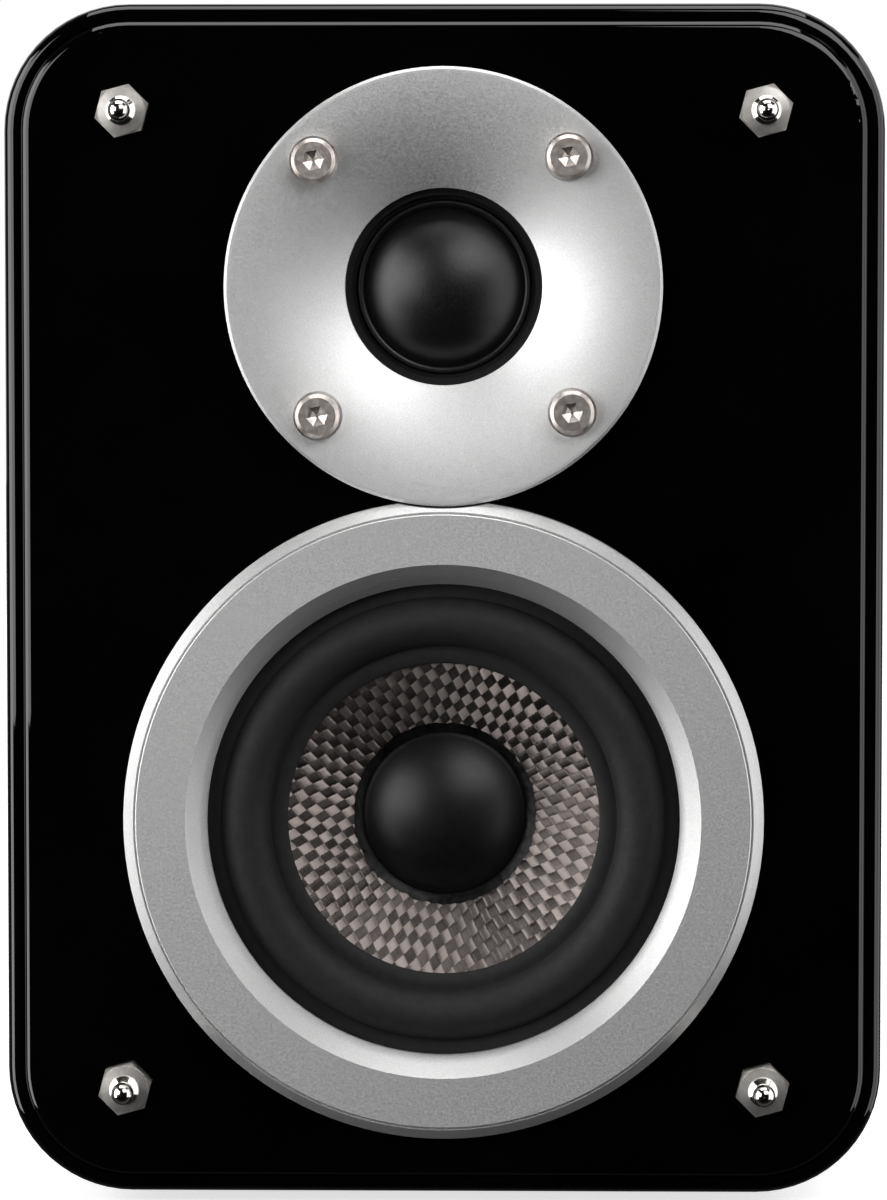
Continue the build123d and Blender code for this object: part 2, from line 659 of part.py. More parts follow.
with BuildPart() as woofer_spider:
    steps = 4 * SPIDER_WAVES
    run = (SPIDER_SEAT - 0.3 - COIL_FORMER_OUTER) / steps
    waves = [math.sin(math.pi / 2 * i) * SPIDER_WAVE_HEIGHT for i in range(steps + 1)]
    under = [(COIL_FORMER_OUTER + run * i, SPIDER_LEVEL + wave) for i, wave in enumerate(waves)]
    under.append((31.5, SPIDER_LEVEL))
    over = [(radius, level + SPIDER_CLOTH) for radius, level in reversed(under)]
    turned(WOOFER, under + over)
finish(woofer_spider.part, "woofer_spider")

TINSEL_X = 4
TINSEL_RADIUS = 0.5
# Distances below the woofer's axis, and depths
TINSEL_ROUTE = ((13.2, 15), (21, 17.2), (29.5, 15.6), (36.2, 16.4), (38, 22), (38, 28.4))

with BuildPart() as woofer_tinsel_leads:
    for side in (-1, 1):
        tinsel_route = [place(side * TINSEL_X, depth, WOOFER_Z - down) for down, depth in TINSEL_ROUTE]
        wire(tinsel_route, TINSEL_RADIUS)
finish(woofer_tinsel_leads.part, "woofer_tinsel_leads")

# ---------------------------------------------------------------- tweeter

WAVEGUIDE_MIDDLE = (24.6, 1.9)
WAVEGUIDE_RADIUS = 33.9
HEAD_SEAT_RADIUS = 3.9

with BuildPart() as tweeter_faceplate:
    with BuildSketch(TWEETER):
        with BuildLine():
            Polyline(
                (WAVEGUIDE_RADIUS, FACEPLATE_FRONT),
                (FACEPLATE_RADIUS - 0.45, FACEPLATE_FRONT),
                (FACEPLATE_RADIUS, FACEPLATE_FRONT - 0.5),
                (FACEPLATE_RADIUS, FACEPLATE_BACK),
                (SPIGOT_RADIUS, FACEPLATE_BACK),
                (SPIGOT_RADIUS, SPIGOT_BACK),
                (THROAT_RADIUS, SPIGOT_BACK),
                (THROAT_RADIUS, THROAT_FRONT),
            )
            ThreePointArc(
                (THROAT_RADIUS, THROAT_FRONT),
                WAVEGUIDE_MIDDLE,
                (WAVEGUIDE_RADIUS, FACEPLATE_FRONT),
            )
        make_face()
    revolve(axis=Axis(TWEETER.origin, TWEETER.y_dir))
    plate_face = front_plane(0, TWEETER_Z, FACEPLATE_FRONT)
    drill(plate_face, TWEETER_SCREW_PLACES, HEAD_SEAT_RADIUS, FACEPLATE_FRONT - SCREW_SEAT)
    drill(plate_face, TWEETER_SCREW_PLACES, TWEETER_SCREW_HOLE, FACEPLATE_FRONT)
finish(tweeter_faceplate.part, "tweeter_faceplate")

with BuildPart() as tweeter_gasket:
    ring(TWEETER, TWEETER_HOLE + 0.5, FACEPLATE_RADIUS - 0.5, 0, FACEPLATE_BACK)
    drill(plate_face, TWEETER_SCREW_PLACES, TWEETER_SCREW_HOLE, FACEPLATE_FRONT)
finish(tweeter_gasket.part, "tweeter_gasket")

HEAD_RADIUS = 3.5
HEAD_HEIGHT = 4
SOCKET_SIZE = 3
SOCKET_DEPTH = 2.2

with BuildPart() as tweeter_screws:
    for screw_x, screw_z in TWEETER_SCREW_PLACES:
        screw_section = driver_section(TWEETER_Z + screw_z, screw_x)
        turned(
            screw_section,
            [
                (0, -TWEETER_SCREW_LENGTH),
                (TWEETER_SCREW_RADIUS, -TWEETER_SCREW_LENGTH),
                (TWEETER_SCREW_RADIUS, SCREW_SEAT),
                (HEAD_RADIUS, SCREW_SEAT),
                (HEAD_RADIUS, SCREW_SEAT + HEAD_HEIGHT - 0.6),
                (HEAD_RADIUS - 0.55, SCREW_SEAT + HEAD_HEIGHT),
                (0, SCREW_SEAT + HEAD_HEIGHT),
            ],
        )
    with BuildSketch(front_plane(0, TWEETER_Z, SCREW_SEAT + HEAD_HEIGHT)) as sockets:
        with Locations(*TWEETER_SCREW_PLACES):
            RegularPolygon(SOCKET_SIZE / 2, 6, major_radius=False, rotation=10)
    extrude(sockets.sketch, amount=-SOCKET_DEPTH, mode=Mode.SUBTRACT)
finish(tweeter_screws.part, "tweeter_screws")

CLAMP_BORE = 14.6
CLAMP_STEP = 17.2

with BuildPart() as tweeter_clamp_ring:
    turned(
        TWEETER,
        [
            (CLAMP_BORE, SPIGOT_BACK),
            (SPIGOT_RADIUS, SPIGOT_BACK),
            (SPIGOT_RADIUS, TWEETER_PLATE_FRONT),
            (CLAMP_STEP, TWEETER_PLATE_FRONT),
            (CLAMP_STEP, DOME_BASE),
            (CLAMP_BORE, DOME_BASE),
        ],
    )
finish(tweeter_clamp_ring.part, "tweeter_clamp_ring")

TWEETER_ROLL = 0.65
TWEETER_ROLL_CENTRE = DOME_RADIUS + TWEETER_ROLL
TWEETER_ROLL_UNDER = TWEETER_ROLL - DOME_CLOTH
TWEETER_SURROUND_OUTER = 17

with BuildPart() as tweeter_surround:
    under = TWEETER_PLATE_FRONT
    with BuildSketch(TWEETER):
        with BuildLine():
            Polyline(
                (TWEETER_ROLL_CENTRE + TWEETER_ROLL, DOME_BASE),
                (TWEETER_SURROUND_OUTER, DOME_BASE),
                (TWEETER_SURROUND_OUTER, under),
                (TWEETER_ROLL_CENTRE + TWEETER_ROLL_UNDER, under),
            )
            ThreePointArc(
                (TWEETER_ROLL_CENTRE + TWEETER_ROLL_UNDER, under),
                (TWEETER_ROLL_CENTRE, DOME_BASE + TWEETER_ROLL_UNDER),
                (TWEETER_ROLL_CENTRE - TWEETER_ROLL_UNDER, under),
            )
            Line(
                (TWEETER_ROLL_CENTRE - TWEETER_ROLL_UNDER, under),
                (TWEETER_ROLL_CENTRE - TWEETER_ROLL, DOME_BASE),
            )
            ThreePointArc(
                (TWEETER_ROLL_CENTRE - TWEETER_ROLL, DOME_BASE),
                (TWEETER_ROLL_CENTRE, DOME_BASE + TWEETER_ROLL),
                (TWEETER_ROLL_CENTRE + TWEETER_ROLL, DOME_BASE),
            )
        make_face()
    revolve(axis=Axis(TWEETER.origin, TWEETER.y_dir))
finish(tweeter_surround.part, "tweeter_surround")

with BuildPart() as tweeter_dome:
    dome_shell(TWEETER, DOME_RADIUS, DOME_BASE, DOME_HEIGHT, DOME_CLOTH)
finish(tweeter_dome.part, "tweeter_dome")

TWEETER_COIL_OUTER = DOME_RADIUS - 0.1
TWEETER_COIL_END = -9.5

with BuildPart() as tweeter_voice_coil:
    ring(TWEETER, TWEETER_COIL_OUTER - 0.3, TWEETER_COIL_OUTER, TWEETER_COIL_END, DOME_BASE - DOME_CLOTH)
finish(tweeter_voice_coil.part, "tweeter_voice_coil")

with BuildPart() as tweeter_top_plate:
    ring(TWEETER, DOME_RADIUS + 0.2, TWEETER_MOTOR_RADIUS, TWEETER_PLATE_BACK, TWEETER_PLATE_FRONT)
finish(tweeter_top_plate.part, "tweeter_top_plate")

TWEETER_MAGNET_BORE = 15.5
TWEETER_VENT = 2.5

with BuildPart() as tweeter_magnet:
    ring(TWEETER, TWEETER_MAGNET_BORE, TWEETER_MOTOR_RADIUS, TWEETER_MAGNET_BACK, TWEETER_PLATE_BACK)
finish(tweeter_magnet.part, "tweeter_magnet")

with BuildPart() as tweeter_yoke:
    ring(TWEETER, TWEETER_VENT, DOME_RADIUS - 0.7, TWEETER_MAGNET_BACK, TWEETER_PLATE_FRONT - 0.6)
    ring(TWEETER, TWEETER_VENT, TWEETER_MOTOR_RADIUS, TWEETER_YOKE_BACK, TWEETER_MAGNET_BACK)
finish(tweeter_yoke.part, "tweeter_yoke")

REAR_CUP_WALL = 1.5
REAR_CUP_ROUND = 2

with BuildPart() as tweeter_rear_cup:
    ring(TWEETER, 0, REAR_CUP_RADIUS, REAR_CUP_BACK, TWEETER_YOKE_BACK)
    fillet(tweeter_rear_cup.faces().sort_by(Axis.Y)[-1].edges(), REAR_CUP_ROUND)
    cup_room = REAR_CUP_RADIUS - REAR_CUP_WALL
    ring(TWEETER, 0, cup_room, REAR_CUP_BACK + REAR_CUP_WALL, TWEETER_YOKE_BACK, Mode.SUBTRACT)
finish(tweeter_rear_cup.part, "tweeter_rear_cup")

TAG_X = 3
TAG_DOWN = 20
TAG_BASE = 2
TAG_LENGTH = 5

with BuildPart() as tweeter_terminals:
    tag_front = front_plane(0, TWEETER_Z - TAG_DOWN, TWEETER_YOKE_BACK)
    with BuildSketch(tag_front) as tag_block:
        Rectangle(11, 5)
    extrude(tag_block.sketch, amount=-TAG_BASE)
    with BuildSketch(tag_front) as tags:
        with Locations((-TAG_X, 0), (TAG_X, 0)):
            Rectangle(2, 0.6)
    extrude(tags.sketch, amount=-TAG_BASE - TAG_LENGTH)
finish(tweeter_terminals.part, "tweeter_terminals")

# ---------------------------------------------------------------- port and terminals

with BuildPart() as port_tube:
    port_place = (0, FACE_Y + CABINET_DEPTH, PORT_Z)
    port_section = Plane(origin=port_place, x_dir=(1, 0, 0), z_dir=(0, 0, 1))
    flare_centre = PORT_BORE + PORT_FLARE
    with BuildSketch(port_section):
        with BuildLine():
            Polyline(
                (PORT_BORE, PORT_PROUD - PORT_FLARE),
                (PORT_BORE, -PORT_LENGTH),
                (PORT_OUTER, -PORT_LENGTH),
                (PORT_OUTER, 0),
                (PORT_FLANGE, 0),
                (PORT_FLANGE, PORT_PROUD - 0.8),
                (PORT_FLANGE - 0.8, PORT_PROUD),
                (flare_centre, PORT_PROUD),
            )
            ThreePointArc(
                (flare_centre, PORT_PROUD),
                (
                    flare_centre - PORT_FLARE * math.cos(math.pi / 4),
                    PORT_PROUD - PORT_FLARE + PORT_FLARE * math.sin(math.pi / 4),
                ),
                (PORT_BORE, PORT_PROUD - PORT_FLARE),
            )
        make_face()
    revolve(axis=Axis(port_section.origin, port_section.y_dir))
finish(port_tube.part, "port_tube")

with BuildPart() as terminal_cup:
    with BuildSketch(rear_plane(TERMINAL_Z, CABINET_DEPTH + CUP_GASKET)):
        RectangleRounded(CUP_FLANGE_WIDTH, CUP_FLANGE_HEIGHT, 7)
    extrude(amount=CUP_FLANGE)
    fillet(terminal_cup.faces().sort_by(Axis.Y)[-1].edges(), 1)
    with BuildSketch(rear_plane(TERMINAL_Z, CUP_INNER_DEPTH)):
        RectangleRounded(CUP_WIDTH, CUP_HEIGHT, CUP_CORNER)
    extrude(amount=CABINET_DEPTH + CUP_GASKET - CUP_INNER_DEPTH)
    with BuildSketch(rear_plane(TERMINAL_Z, CUP_FACE_DEPTH)):
        RectangleRounded(CUP_WIDTH - 2 * CUP_WALL, CUP_HEIGHT - 2 * CUP_WALL, 3)
    extrude(amount=-CUP_RECESS, mode=Mode.SUBTRACT)
    drill(rear_plane(TERMINAL_Z, CUP_FACE_DEPTH), CUP_SCREW_PLACES, CUP_SCREW_HOLE, CUP_FLANGE)
    post_places = [(x, 0) for x in POSTS.values()]
    drill(rear_plane(TERMINAL_Z, POST_FLOOR_DEPTH), post_places, POST_SHANK, CUP_FLOOR)
finish(terminal_cup.part, "terminal_cup")

with BuildPart() as terminal_cup_gasket:
    with BuildSketch(rear_plane(TERMINAL_Z, CABINET_DEPTH)):
        RectangleRounded(CUP_FLANGE_WIDTH - 1, CUP_FLANGE_HEIGHT - 1, 6.5)
        RectangleRounded(
            CUP_WIDTH + CUP_CLEARANCE, CUP_HEIGHT + CUP_CLEARANCE, CUP_CORNER, mode=Mode.SUBTRACT
        )
        with Locations(*CUP_SCREW_PLACES):
            Circle(CUP_SCREW_HOLE, mode=Mode.SUBTRACT)
    extrude(amount=CUP_GASKET)
finish(terminal_cup_gasket.part, "terminal_cup_gasket")

with BuildPart() as terminal_cup_screws:
    cup_screw_face = rear_plane(TERMINAL_Z, CUP_FACE_DEPTH)
    drill(cup_screw_face, CUP_SCREW_PLACES, CUP_SCREW_RADIUS, CUP_SCREW_LENGTH, Mode.ADD)
    drill(cup_screw_face, CUP_SCREW_PLACES, 2.8, -CUP_SCREW_HEAD, Mode.ADD)
    screw_tops = terminal_cup_screws.faces().group_by(Axis.Y)[-1]
    fillet(screw_tops.edges(), 0.7)
    for slot_turn in (0, 90):
        with BuildSketch(rear_plane(TERMINAL_Z, CUP_FACE_DEPTH + CUP_SCREW_HEAD)) as cross:
            with Locations(*CUP_SCREW_PLACES):
                Rectangle(2.8, 0.6, rotation=slot_turn)
        extrude(cross.sketch, amount=-1, mode=Mode.SUBTRACT)
finish(terminal_cup_screws.part, "terminal_cup_screws")

COLLAR = 2
COLLAR_RADIUS = 6.3
WASHER_START = 2.05
WASHER = 1
WASHER_RADIUS = 5.2
TAG = 0.6
NUT = 4
NUT_HEX = 8
SHANK_END = -8
FLUTES = 16
FLUTE_RADIUS = 0.55


def binding_post(x):
    """A metal post with a banana bore, and a thinner shank through the cup's floor."""
    section = post_section(x)
    with BuildPart() as post:
        ring(section, 0, POST_SHANK, SHANK_END, 0)
        turned(
            section,
            [
                (0, 0),
                (POST_RADIUS, 0),
                (POST_RADIUS, POST_LENGTH),
                (BANANA_RADIUS, POST_LENGTH),
                (BANANA_RADIUS, POST_LENGTH - BANANA_DEPTH),
                (0, POST_LENGTH - BANANA_DEPTH - 1),
            ],
        )
    return post.part


def collar(x):
    """An insulating collar under the post's clamp."""
    with BuildPart() as seat:
        turned(
            post_section(x),
            [
                (POST_RADIUS, 0),
                (COLLAR_RADIUS, 0),
                (COLLAR_RADIUS, COLLAR - 0.5),
                (COLLAR_RADIUS - 0.5, COLLAR),
                (POST_RADIUS, COLLAR),
            ],
        )
    return seat.part


def clamp_washer(x):
    """The plated washer that the knob presses on a wire."""
    with BuildPart() as washer:
        bore = POST_RADIUS + RUNNING_GAP
        ring(post_section(x), bore, WASHER_RADIUS, WASHER_START, WASHER_START + WASHER)
    return washer.part


def knob(x):
    """A fluted thumb knob that runs on the post's thread."""
    section = post_section(x)
    with BuildPart() as thumb:
        turned(
            section,
            [
                (POST_RADIUS + RUNNING_GAP, KNOB_START),
                (KNOB_RADIUS - 0.4, KNOB_START),
                (KNOB_RADIUS, KNOB_START + 0.4),
                (KNOB_RADIUS, POST_LENGTH - 0.8),
                (KNOB_RADIUS - 0.8, POST_LENGTH),
                (POST_RADIUS + RUNNING_GAP, POST_LENGTH),
            ],
        )
        flute_face = Plane(origin=section.origin, x_dir=(1, 0, 0), z_dir=(0, 1, 0)).offset(KNOB_START + 1.5)
        with BuildSketch(flute_face) as flutes:
            with PolarLocations(KNOB_RADIUS + 0.15, FLUTES):
                Circle(FLUTE_RADIUS)
        extrude(flutes.sketch, amount=POST_LENGTH - KNOB_START, mode=Mode.SUBTRACT)
    return thumb.part


for colour, post_x in POSTS.items():
    finish(binding_post(post_x), f"{colour}_post")
    finish(collar(post_x), f"{colour}_post_collar")
    finish(clamp_washer(post_x), f"{colour}_clamp_washer")
    finish(knob(post_x), f"{colour}_knob")

with BuildPart() as solder_tags:
    with BuildSketch(rear_plane(TERMINAL_Z, CUP_INNER_DEPTH)):
        with Locations(*post_places):
            Circle(5)
        with Locations(*[(x, -7) for x, _ in post_places]):
            Rectangle(5, 12)
        with Locations(*post_places):
            Circle(POST_SHANK + 0.05, mode=Mode.SUBTRACT)
    extrude(amount=-TAG)
finish(solder_tags.part, "solder_tags")

with BuildPart() as post_nuts:
    with BuildSketch(rear_plane(TERMINAL_Z, CUP_INNER_DEPTH - TAG)):
        with Locations(*post_places):
            RegularPolygon(NUT_HEX / 2, 6, major_radius=False)
            Circle(POST_SHANK, mode=Mode.SUBTRACT)
    extrude(amount=-NUT)
finish(post_nuts.part, "post_nuts")

# ---------------------------------------------------------------- crossover

with BuildPart() as crossover_board:
    with BuildSketch(level_plane(FLOOR_Z + STANDOFF, BOARD_DEPTH)):
        Rectangle(BOARD_WIDTH, BOARD_LENGTH)
        with Locations(*board_holes):
            Circle(BOARD_SCREW_RADIUS + 0.1, mode=Mode.SUBTRACT)
    extrude(amount=BOARD)
finish(crossover_board.part, "crossover_board")

with BuildPart() as board_standoffs:
    with BuildSketch(level_plane(FLOOR_Z, BOARD_DEPTH)):
        with Locations(*board_holes):
            Circle(3)
            Circle(BOARD_SCREW_RADIUS + RUNNING_GAP, mode=Mode.SUBTRACT)
    extrude(amount=STANDOFF)
finish(board_standoffs.part, "board_standoffs")

BOARD_SCREW_HEAD_RADIUS = 2.8
BOARD_SCREW_HEAD = 1.8
BOARD_SCREW_ROUND = 0.8

with BuildPart() as board_screws:
    screw_plane = level_plane(BOARD_TOP, BOARD_DEPTH)
    screw_length = STANDOFF + BOARD + BOARD_SCREW_LENGTH - 0.5
    drill(screw_plane, board_holes, BOARD_SCREW_RADIUS, screw_length, Mode.ADD)
    drill(screw_plane, board_holes, BOARD_SCREW_HEAD_RADIUS, -BOARD_SCREW_HEAD, Mode.ADD)
    fillet(board_screws.faces().group_by(Axis.Z)[-1].edges(), BOARD_SCREW_ROUND)
finish(board_screws.part, "board_screws")

BOBBIN_FLANGE = 1
BOBBIN_WALL = 1
# Each inductor's x, depth, outer radius, height and drum radius
INDUCTORS = {
    "woofer_inductor": (-24, 92, 15, 14, 7),
    "tweeter_inductor": (25, 90, 11, 11, 5),
}


def upright(x, depth):
    """Half section of an upright round component: X is the radius and Y is the height over the board."""
    return Plane(origin=(x, FACE_Y + depth, BOARD_TOP), x_dir=(1, 0, 0), z_dir=(0, -1, 0))


for inductor, (coil_x, coil_depth, coil_radius, coil_height, drum) in INDUCTORS.items():
    with BuildPart() as winding:
        coil_section = upright(coil_x, coil_depth)
        ring(coil_section, drum, coil_radius - 0.6, BOBBIN_FLANGE, coil_height - BOBBIN_FLANGE)
    finish(winding.part, f"{inductor}_winding")

with BuildPart() as inductor_bobbins:
    for coil_x, coil_depth, coil_radius, coil_height, drum in INDUCTORS.values():
        coil_section = upright(coil_x, coil_depth)
        ring(coil_section, drum - BOBBIN_WALL, drum, 0, coil_height)
        ring(coil_section, drum - BOBBIN_WALL, coil_radius, 0, BOBBIN_FLANGE)
        ring(coil_section, drum - BOBBIN_WALL, coil_radius, coil_height - BOBBIN_FLANGE, coil_height)
finish(inductor_bobbins.part, "inductor_bobbins")

LEAD_RADIUS = 0.4


def component_leads(ends, height):
    """Bent wire leads from both ends of a component that lies along X, down to the board."""
    for end in ends:
        outward = math.copysign(3, end.X - sum(e.X for e in ends) / 2)
        elbow = end + Vector(outward, 0, 0)
        with BuildLine() as route:
            FilletPolyline(end, elbow, elbow - Vector(0, 0, height), radius=1.2)
        with BuildSketch(Plane(origin=route.line @ 0, z_dir=route.line % 0)) as section:
            Circle(LEAD_RADIUS)
        sweep(section.sketch, path=route.line)


# Each capacitor's x, depth, radius and length
CAPACITORS = ((-21, 123, 6, 24), (20, 122, 5, 20))

with BuildPart() as capacitors:
    for cap_x, cap_depth, cap_radius, cap_length in CAPACITORS:
        cap_middle = place(cap_x, cap_depth, BOARD_TOP + cap_radius)
        cap_plane = Plane(origin=cap_middle, x_dir=(0, 1, 0), z_dir=(1, 0, 0))
        with BuildSketch(cap_plane.offset(-cap_length / 2)) as cap_section:
            Circle(cap_radius)
        extrude(cap_section.sketch, amount=cap_length)
        half = Vector(cap_length / 2, 0, 0)
        component_leads([cap_middle - half, cap_middle + half], cap_radius)
finish(capacitors.part, "capacitors")

RESISTOR_LENGTH = 20
RESISTOR_SIDE = 8
RESISTOR_DEPTH = 106.5

with BuildPart() as power_resistor:
    resistor_middle = place(16, RESISTOR_DEPTH, BOARD_TOP + RESISTOR_SIDE / 2)
    with Locations(resistor_middle):
        Box(RESISTOR_LENGTH, RESISTOR_SIDE, RESISTOR_SIDE)
    half = Vector(RESISTOR_LENGTH / 2, 0, 0)
    component_leads([resistor_middle - half, resistor_middle + half], RESISTOR_SIDE / 2)
finish(power_resistor.part, "power_resistor")

# ---------------------------------------------------------------- held wires inside the cabinet
# Each route is a list of x, depth and z. It is mirrored for the second lead of its pair.

TAG_END_Z = TERMINAL_Z - 13
INPUT_DEPTH = CUP_INNER_DEPTH - TAG - 0.3
TWEETER_TAG_DEPTH = TAG_BASE + TAG_LENGTH - TWEETER_YOKE_BACK
TWEETER_TAG_Z = TWEETER_Z - TAG_DOWN
INPUT_ROUTE = (
    (9.5, INPUT_DEPTH, TAG_END_Z),
    (9.5, INPUT_DEPTH, 30.5),
    (9.5, 133, 26.6),
    (9.5, 133, BOARD_TOP),
)
WOOFER_ROUTE = (
    (7.2, -BASKET_FOOT, 26.3),
    (7.2, 46, 26.3),
    (7.2, 60, 30.5),
    (7.2, 72, 32.5),
    (7.2, 77, 27),
    (7.2, 77, BOARD_TOP),
)
TWEETER_ROUTE = (
    (TAG_X, TWEETER_TAG_DEPTH, TWEETER_TAG_Z),
    (TAG_X, 39, TWEETER_TAG_Z),
    (4.5, 51, 117),
    (7, 64, 102),
    (10, 72, 82),
    (12, 75.5, 60),
    (13, 75, 38),
    (13, 75, BOARD_TOP),
)

for lead_name, lead_route in (
    ("input_leads", INPUT_ROUTE),
    ("woofer_leads", WOOFER_ROUTE),
    ("tweeter_leads", TWEETER_ROUTE),
):
    with BuildPart() as leads:
        for side in (-1, 1):
            wire([place(side * x, depth, z) for x, depth, z in lead_route], WIRE_RADIUS)
    finish(leads.part, lead_name)
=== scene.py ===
import json
import math

import bmesh
import bpy
import numpy as np
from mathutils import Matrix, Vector


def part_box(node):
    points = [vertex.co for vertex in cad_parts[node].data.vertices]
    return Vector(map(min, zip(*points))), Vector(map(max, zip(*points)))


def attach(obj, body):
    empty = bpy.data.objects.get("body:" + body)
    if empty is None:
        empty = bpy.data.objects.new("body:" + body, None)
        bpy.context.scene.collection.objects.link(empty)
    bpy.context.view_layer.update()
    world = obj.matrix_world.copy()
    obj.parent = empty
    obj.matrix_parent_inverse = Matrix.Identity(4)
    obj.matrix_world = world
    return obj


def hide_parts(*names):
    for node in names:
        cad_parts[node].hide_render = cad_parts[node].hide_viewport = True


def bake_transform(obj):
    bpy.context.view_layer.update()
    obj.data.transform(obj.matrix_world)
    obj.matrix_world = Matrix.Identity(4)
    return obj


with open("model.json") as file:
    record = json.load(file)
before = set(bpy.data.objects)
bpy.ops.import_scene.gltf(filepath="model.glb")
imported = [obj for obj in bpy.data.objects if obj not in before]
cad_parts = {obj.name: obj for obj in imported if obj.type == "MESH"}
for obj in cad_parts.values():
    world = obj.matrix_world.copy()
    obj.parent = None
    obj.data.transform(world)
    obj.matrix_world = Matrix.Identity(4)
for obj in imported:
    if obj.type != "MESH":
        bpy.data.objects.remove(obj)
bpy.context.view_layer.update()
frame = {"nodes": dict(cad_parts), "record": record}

# Compact two-way speaker. Sizes named here are in millimetres unless they say otherwise, and "forward" is
# the distance in front of the baffle's face.
MM = 0.001
FACE_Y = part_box("front_baffle")[0].y
FACE_MIDDLE_Z = sum(corner.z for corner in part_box("front_baffle")) / 2


def middle_z(node):
    """Height of a node's middle, in metres."""
    low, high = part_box(node)
    return (low.z + high.z) / 2


WOOFER_Z = middle_z("woofer_cone")
TWEETER_Z = middle_z("tweeter_dome")

# ---------------------------------------------------------------- camera and stage

# The camera's place from the point it looks at, and that point above the front's middle, in metres
CAMERA_RIGHT = 0.018
CAMERA_UP = 0.052
CAMERA_AWAY = 0.84
AIM_UP = 0.0004
# Its focal length, in millimetres
LENS = 158.6

# Each light: degrees to the right and up, metres away, wide and high, and watts
LIGHTS = (
    ("left_key_light", -44, 12, 1.0, 0.56, 0.64, 3.9),
    ("left_mid_light", -72, 4, 1.0, 0.5, 1.3, 9.6),
    ("right_side_light", 98, 4, 1.0, 0.6, 1.3, 3.8),
    ("right_mid_light", 66, 4, 1.0, 0.45, 1.3, 3.4),
    ("right_key_light", 31, 36, 1.0, 0.68, 0.58, 4.5),
    ("top_light", 0, 85, 1.0, 0.9, 0.6, 5.7),
    ("back_left_light", -150, 25, 1.4, 1.4, 1.4, 5),
    ("back_right_light", 145, 35, 1.4, 1.4, 1.4, 5),
)

# The sky's strength where the object sees it, from the front to straight behind
SKY_IN_FRONT = 0.003
SKY_BEHIND = 0.16
SKY_RISES_FROM = -0.4
# How wide and deep the floor is, in metres
FLOOR_SIZE = 3.0


def aim(obj, target):
    """Turn an object so that it looks at a point."""
    direction = Vector(target) - obj.location
    obj.rotation_euler = direction.to_track_quat("-Z", "Y").to_euler()


def make_camera():
    """A long lens in front, slightly above and to the right."""
    data = bpy.data.cameras.new("camera")
    camera = bpy.data.objects.new("camera", data)
    bpy.context.scene.collection.objects.link(camera)
    data.lens = LENS
    data.clip_start = 0.01
    data.clip_end = 50
    target = Vector((0, FACE_Y, FACE_MIDDLE_Z + AIM_UP))
    camera.location = target + Vector((CAMERA_RIGHT, -CAMERA_AWAY, CAMERA_UP))
    aim(camera, target)
    bpy.context.scene.camera = camera


def softbox(name, side, rise, away, width, height, power):
    """A rectangular light that looks at the front's middle, and that the camera doesn't see."""
    data = bpy.data.lights.new(name, "AREA")
    data.shape = "RECTANGLE"
    data.size = width
    data.size_y = height
    data.energy = power
    light = bpy.data.objects.new(name, data)
    bpy.context.scene.collection.objects.link(light)
    target = Vector((0, FACE_Y, FACE_MIDDLE_Z))
    side, rise = math.radians(side), math.radians(rise)
    out = Vector((math.sin(side) * math.cos(rise), -math.cos(side) * math.cos(rise), math.sin(rise)))
    light.location = target + away * out
    aim(light, target)
    light.visible_camera = False


def make_world():
    """White to the camera, and a dim soft sky that lights the object's sides and back."""
    world = bpy.data.worlds.new("studio")
    world.use_nodes = True
    tree = world.node_tree
    tree.nodes.clear()
    out = tree.nodes.new("ShaderNodeOutputWorld")
    mix = tree.nodes.new("ShaderNodeMixShader")
    seen = tree.nodes.new("ShaderNodeBackground")
    seen.inputs["Color"].default_value = (1, 1, 1, 1)
    seen.inputs["Strength"].default_value = 1.0
    fill = tree.nodes.new("ShaderNodeBackground")
    ways = tree.nodes.new("ShaderNodeTexCoord")
    parts = tree.nodes.new("ShaderNodeSeparateXYZ")
    behind = tree.nodes.new("ShaderNodeMapRange")
    behind.inputs["From Min"].default_value = SKY_RISES_FROM
    behind.inputs["To Min"].default_value = SKY_IN_FRONT
    behind.inputs["To Max"].default_value = SKY_BEHIND
    tree.links.new(ways.outputs["Generated"], parts.inputs["Vector"])
    tree.links.new(parts.outputs["Y"], behind.inputs["Value"])
    tree.links.new(behind.outputs["Result"], fill.inputs["Strength"])
    path = tree.nodes.new("ShaderNodeLightPath")
    tree.links.new(path.outputs["Is Camera Ray"], mix.inputs["Fac"])
    tree.links.new(fill.outputs["Background"], mix.inputs[1])
    tree.links.new(seen.outputs["Background"], mix.inputs[2])
    tree.links.new(mix.outputs["Shader"], out.inputs["Surface"])
    bpy.context.scene.world = world


def make_floor():
    """A pale square that only the camera sees: it neither lights the object nor shows in its gloss."""
    mesh = bpy.data.meshes.new("floor")
    half = FLOOR_SIZE / 2
    corners = [(-half, -half, 0), (half, -half, 0), (half, half, 0), (-half, half, 0)]
    mesh.from_pydata(corners, [], [(0, 1, 2, 3)])
    floor = bpy.data.objects.new("floor", mesh)
    bpy.context.scene.collection.objects.link(floor)
    mesh.materials.append(plain_floor())
    floor.visible_glossy = False
    floor.visible_diffuse = False
    floor.visible_shadow = False


# ---------------------------------------------------------------- materials


